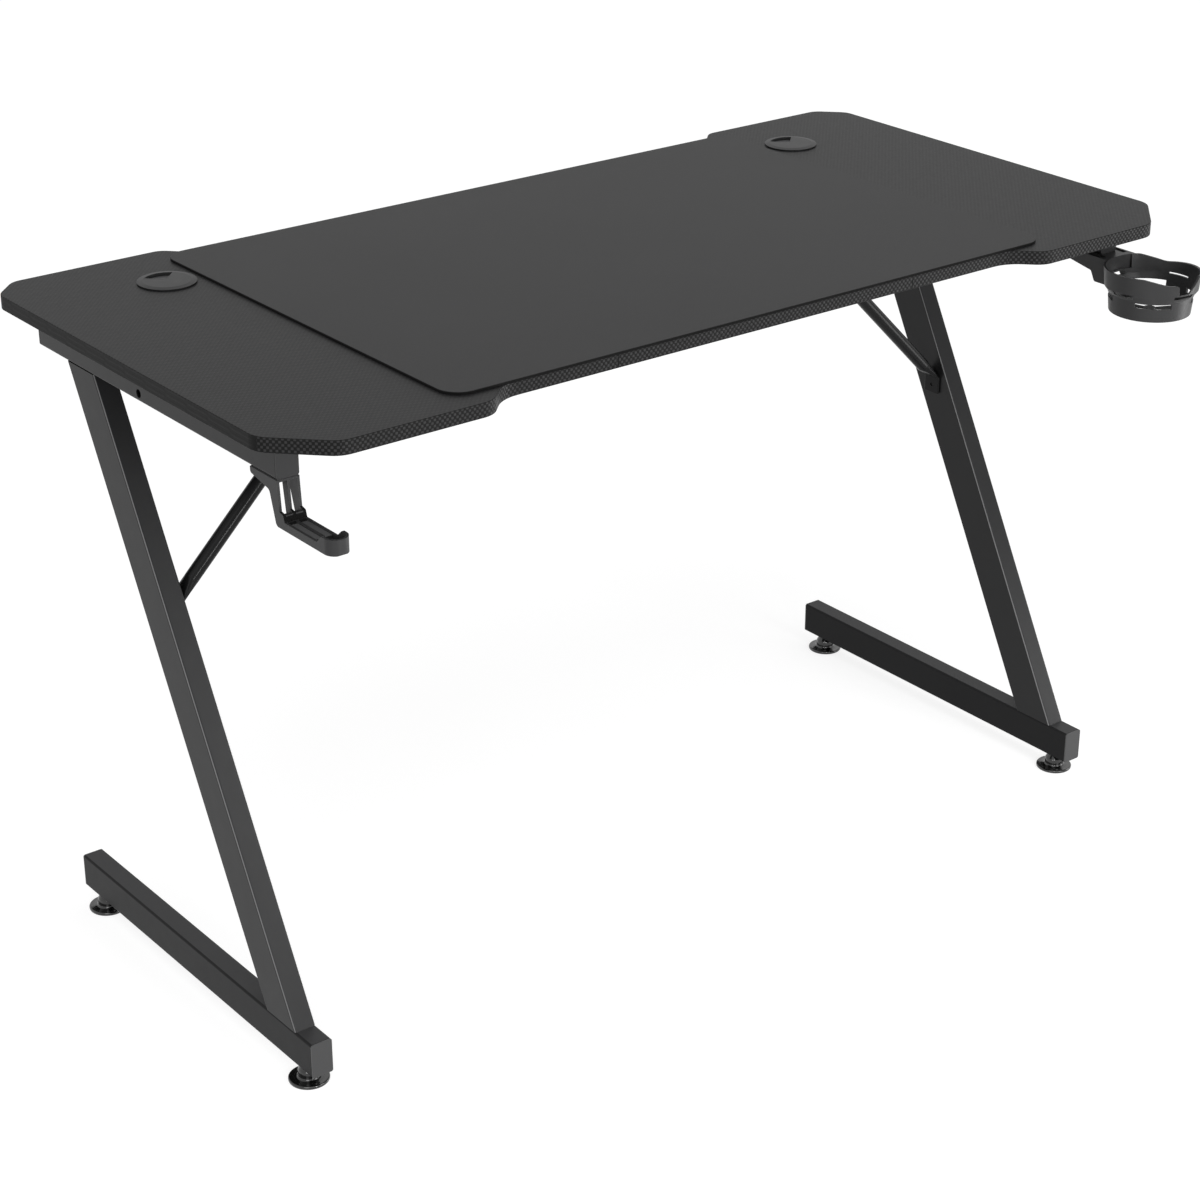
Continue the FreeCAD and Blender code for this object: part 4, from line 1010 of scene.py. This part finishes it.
@dataclass(frozen=True)
class SoftBox:
    """A square soft box: where it stands, the point that it faces, its sides and its power in watts."""

    name: str
    place: Point
    aim: Point
    side: float
    power: float

    def build(self) -> None:
        """Stand the box near the desk, out of the camera's sight."""
        light = bpy.data.lights.new(self.name, "AREA")
        light.energy = self.power
        light.size = self.side
        box = bpy.data.objects.new(self.name, light)
        box.location = self.place
        box.rotation_euler = (Vector(self.place) - Vector(self.aim)).to_track_quat("Z", "Y").to_euler()
        box.visible_camera = False
        bpy.context.collection.objects.link(box)


@dataclass
class Studio:
    """A white floor that keeps a faint shadow, a white surround, a high lamp and four soft boxes."""

    floor_half: float = 60.0
    floor_tone: Colour = (0.20, 0.20, 0.20)
    floor_rough: float = 0.9
    shadow_share: float = 0.36
    glow: float = 0.76
    sky: float = 0.55
    lamp: HighLamp = HighLamp()
    boxes: tuple[SoftBox, ...] = (
        SoftBox("left_box", (-2.1, -1.6, 1.0), (0.0, 0.0, 0.4), 0.9, 14.0),
        SoftBox("front_box", (0.5, -1.5, 0.85), (-0.5, -0.1, 0.3), 0.7, 11.0),
        SoftBox("right_box", (1.3, -0.75, 0.24), (0.45, 0.0, 0.55), 0.4, 2.8),
        SoftBox("brace_box", (-0.42, -1.5, 0.53), (-0.40, 0.0, 0.55), 0.15, 4.0),
    )

    def build(self) -> None:
        """Make the floor, the surround and the lights."""
        self.build_floor()
        self.build_surround()
        for light in (self.lamp, *self.boxes):
            light.build()
            LOG.info("%s: lit", light.name)

    def build_floor(self) -> None:
        """Lay the floor."""
        mesh = bpy.data.meshes.new("floor")
        half = self.floor_half
        corners = [(-half, -half, 0), (half, -half, 0), (half, half, 0), (-half, half, 0)]
        mesh.from_pydata(corners, [], [(0, 1, 2, 3)])
        mesh.materials.append(self.floor_finish())
        floor = bpy.data.objects.new("floor", mesh)
        bpy.context.collection.objects.link(floor)

    def floor_finish(self) -> bpy.types.Material:
        """Make the floor's material: plain pale to the light it passes on, near white to the eye.

        Returns:
            The material.
        """
        recipe = Recipe("pale_floor")
        recipe.set(Base_Color=(*self.floor_tone, 1.0), Roughness=self.floor_rough, Specular_IOR_Level=0.0)
        matt = recipe.add("ShaderNodeBsdfDiffuse")
        matt.inputs["Color"].default_value = (self.shadow_share,) * 3 + (1.0,)
        glow = recipe.add("ShaderNodeEmission")
        glow.inputs["Strength"].default_value = self.glow
        both = recipe.add("ShaderNodeAddShader")
        recipe.links.new(matt.outputs[0], both.inputs[0])
        recipe.links.new(glow.outputs[0], both.inputs[1])
        mix = recipe.add("ShaderNodeMixShader")
        recipe.links.new(recipe.seen(), mix.inputs[0])
        recipe.links.new(recipe.shader.outputs[0], mix.inputs[1])
        recipe.links.new(both.outputs[0], mix.inputs[2])
        recipe.links.new(mix.outputs[0], recipe.first("OUTPUT_MATERIAL").inputs["Surface"])
        return recipe.material

    def build_surround(self) -> None:
        """Light the scene evenly from all round, and show white to the eye and in gloss."""
        world = bpy.data.worlds.new("surround")
        bpy.context.scene.world = world
        world.use_nodes = True
        wiring = Wiring(world.node_tree)
        ground = wiring.first("BACKGROUND")
        ground.inputs["Color"].default_value = (1.0, 1.0, 1.0, 1.0)
        wiring.feed(wiring.choose(wiring.seen(), self.sky, 1.0), ground.inputs["Strength"])


@dataclass
class PhotoCamera:
    """The camera at the photograph's viewing angle, with its turns in degrees and its lens in millimetres."""

    place: Point = (-1.7618, -2.2526, 1.6482)
    turns: Point = (65.020, 0.0, -37.820)
    lens: float = 81.33
    sensor: float = 36.0
    reach: float = 200.0

    def build(self) -> None:
        """Set up the camera."""
        data = bpy.data.cameras.new("photo_camera")
        data.lens = self.lens
        data.sensor_width = self.sensor
        data.clip_end = self.reach
        camera = bpy.data.objects.new("photo_camera", data)
        camera.location = self.place
        camera.rotation_euler = Euler([math.radians(turn) for turn in self.turns])
        bpy.context.collection.objects.link(camera)
        bpy.context.scene.camera = camera


def main() -> None:
    """Load the frame, then build and dress each sub-assembly in turn."""
    logging.basicConfig(level=logging.INFO, format="%(name)s %(message)s")
    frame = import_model()
    bpy.context.scene.view_settings.view_transform = "Standard"
    PhotoCamera().build()
    Studio().build()
    DeskMat().build()
    for assembly in (Desktop(), Grommets(), LegFrames(), ScrewFeet(), Accessories()):
        assembly.dress(frame)
        LOG.info("dressed %s", type(assembly).__name__)


if __name__ == "__main__":
    main()
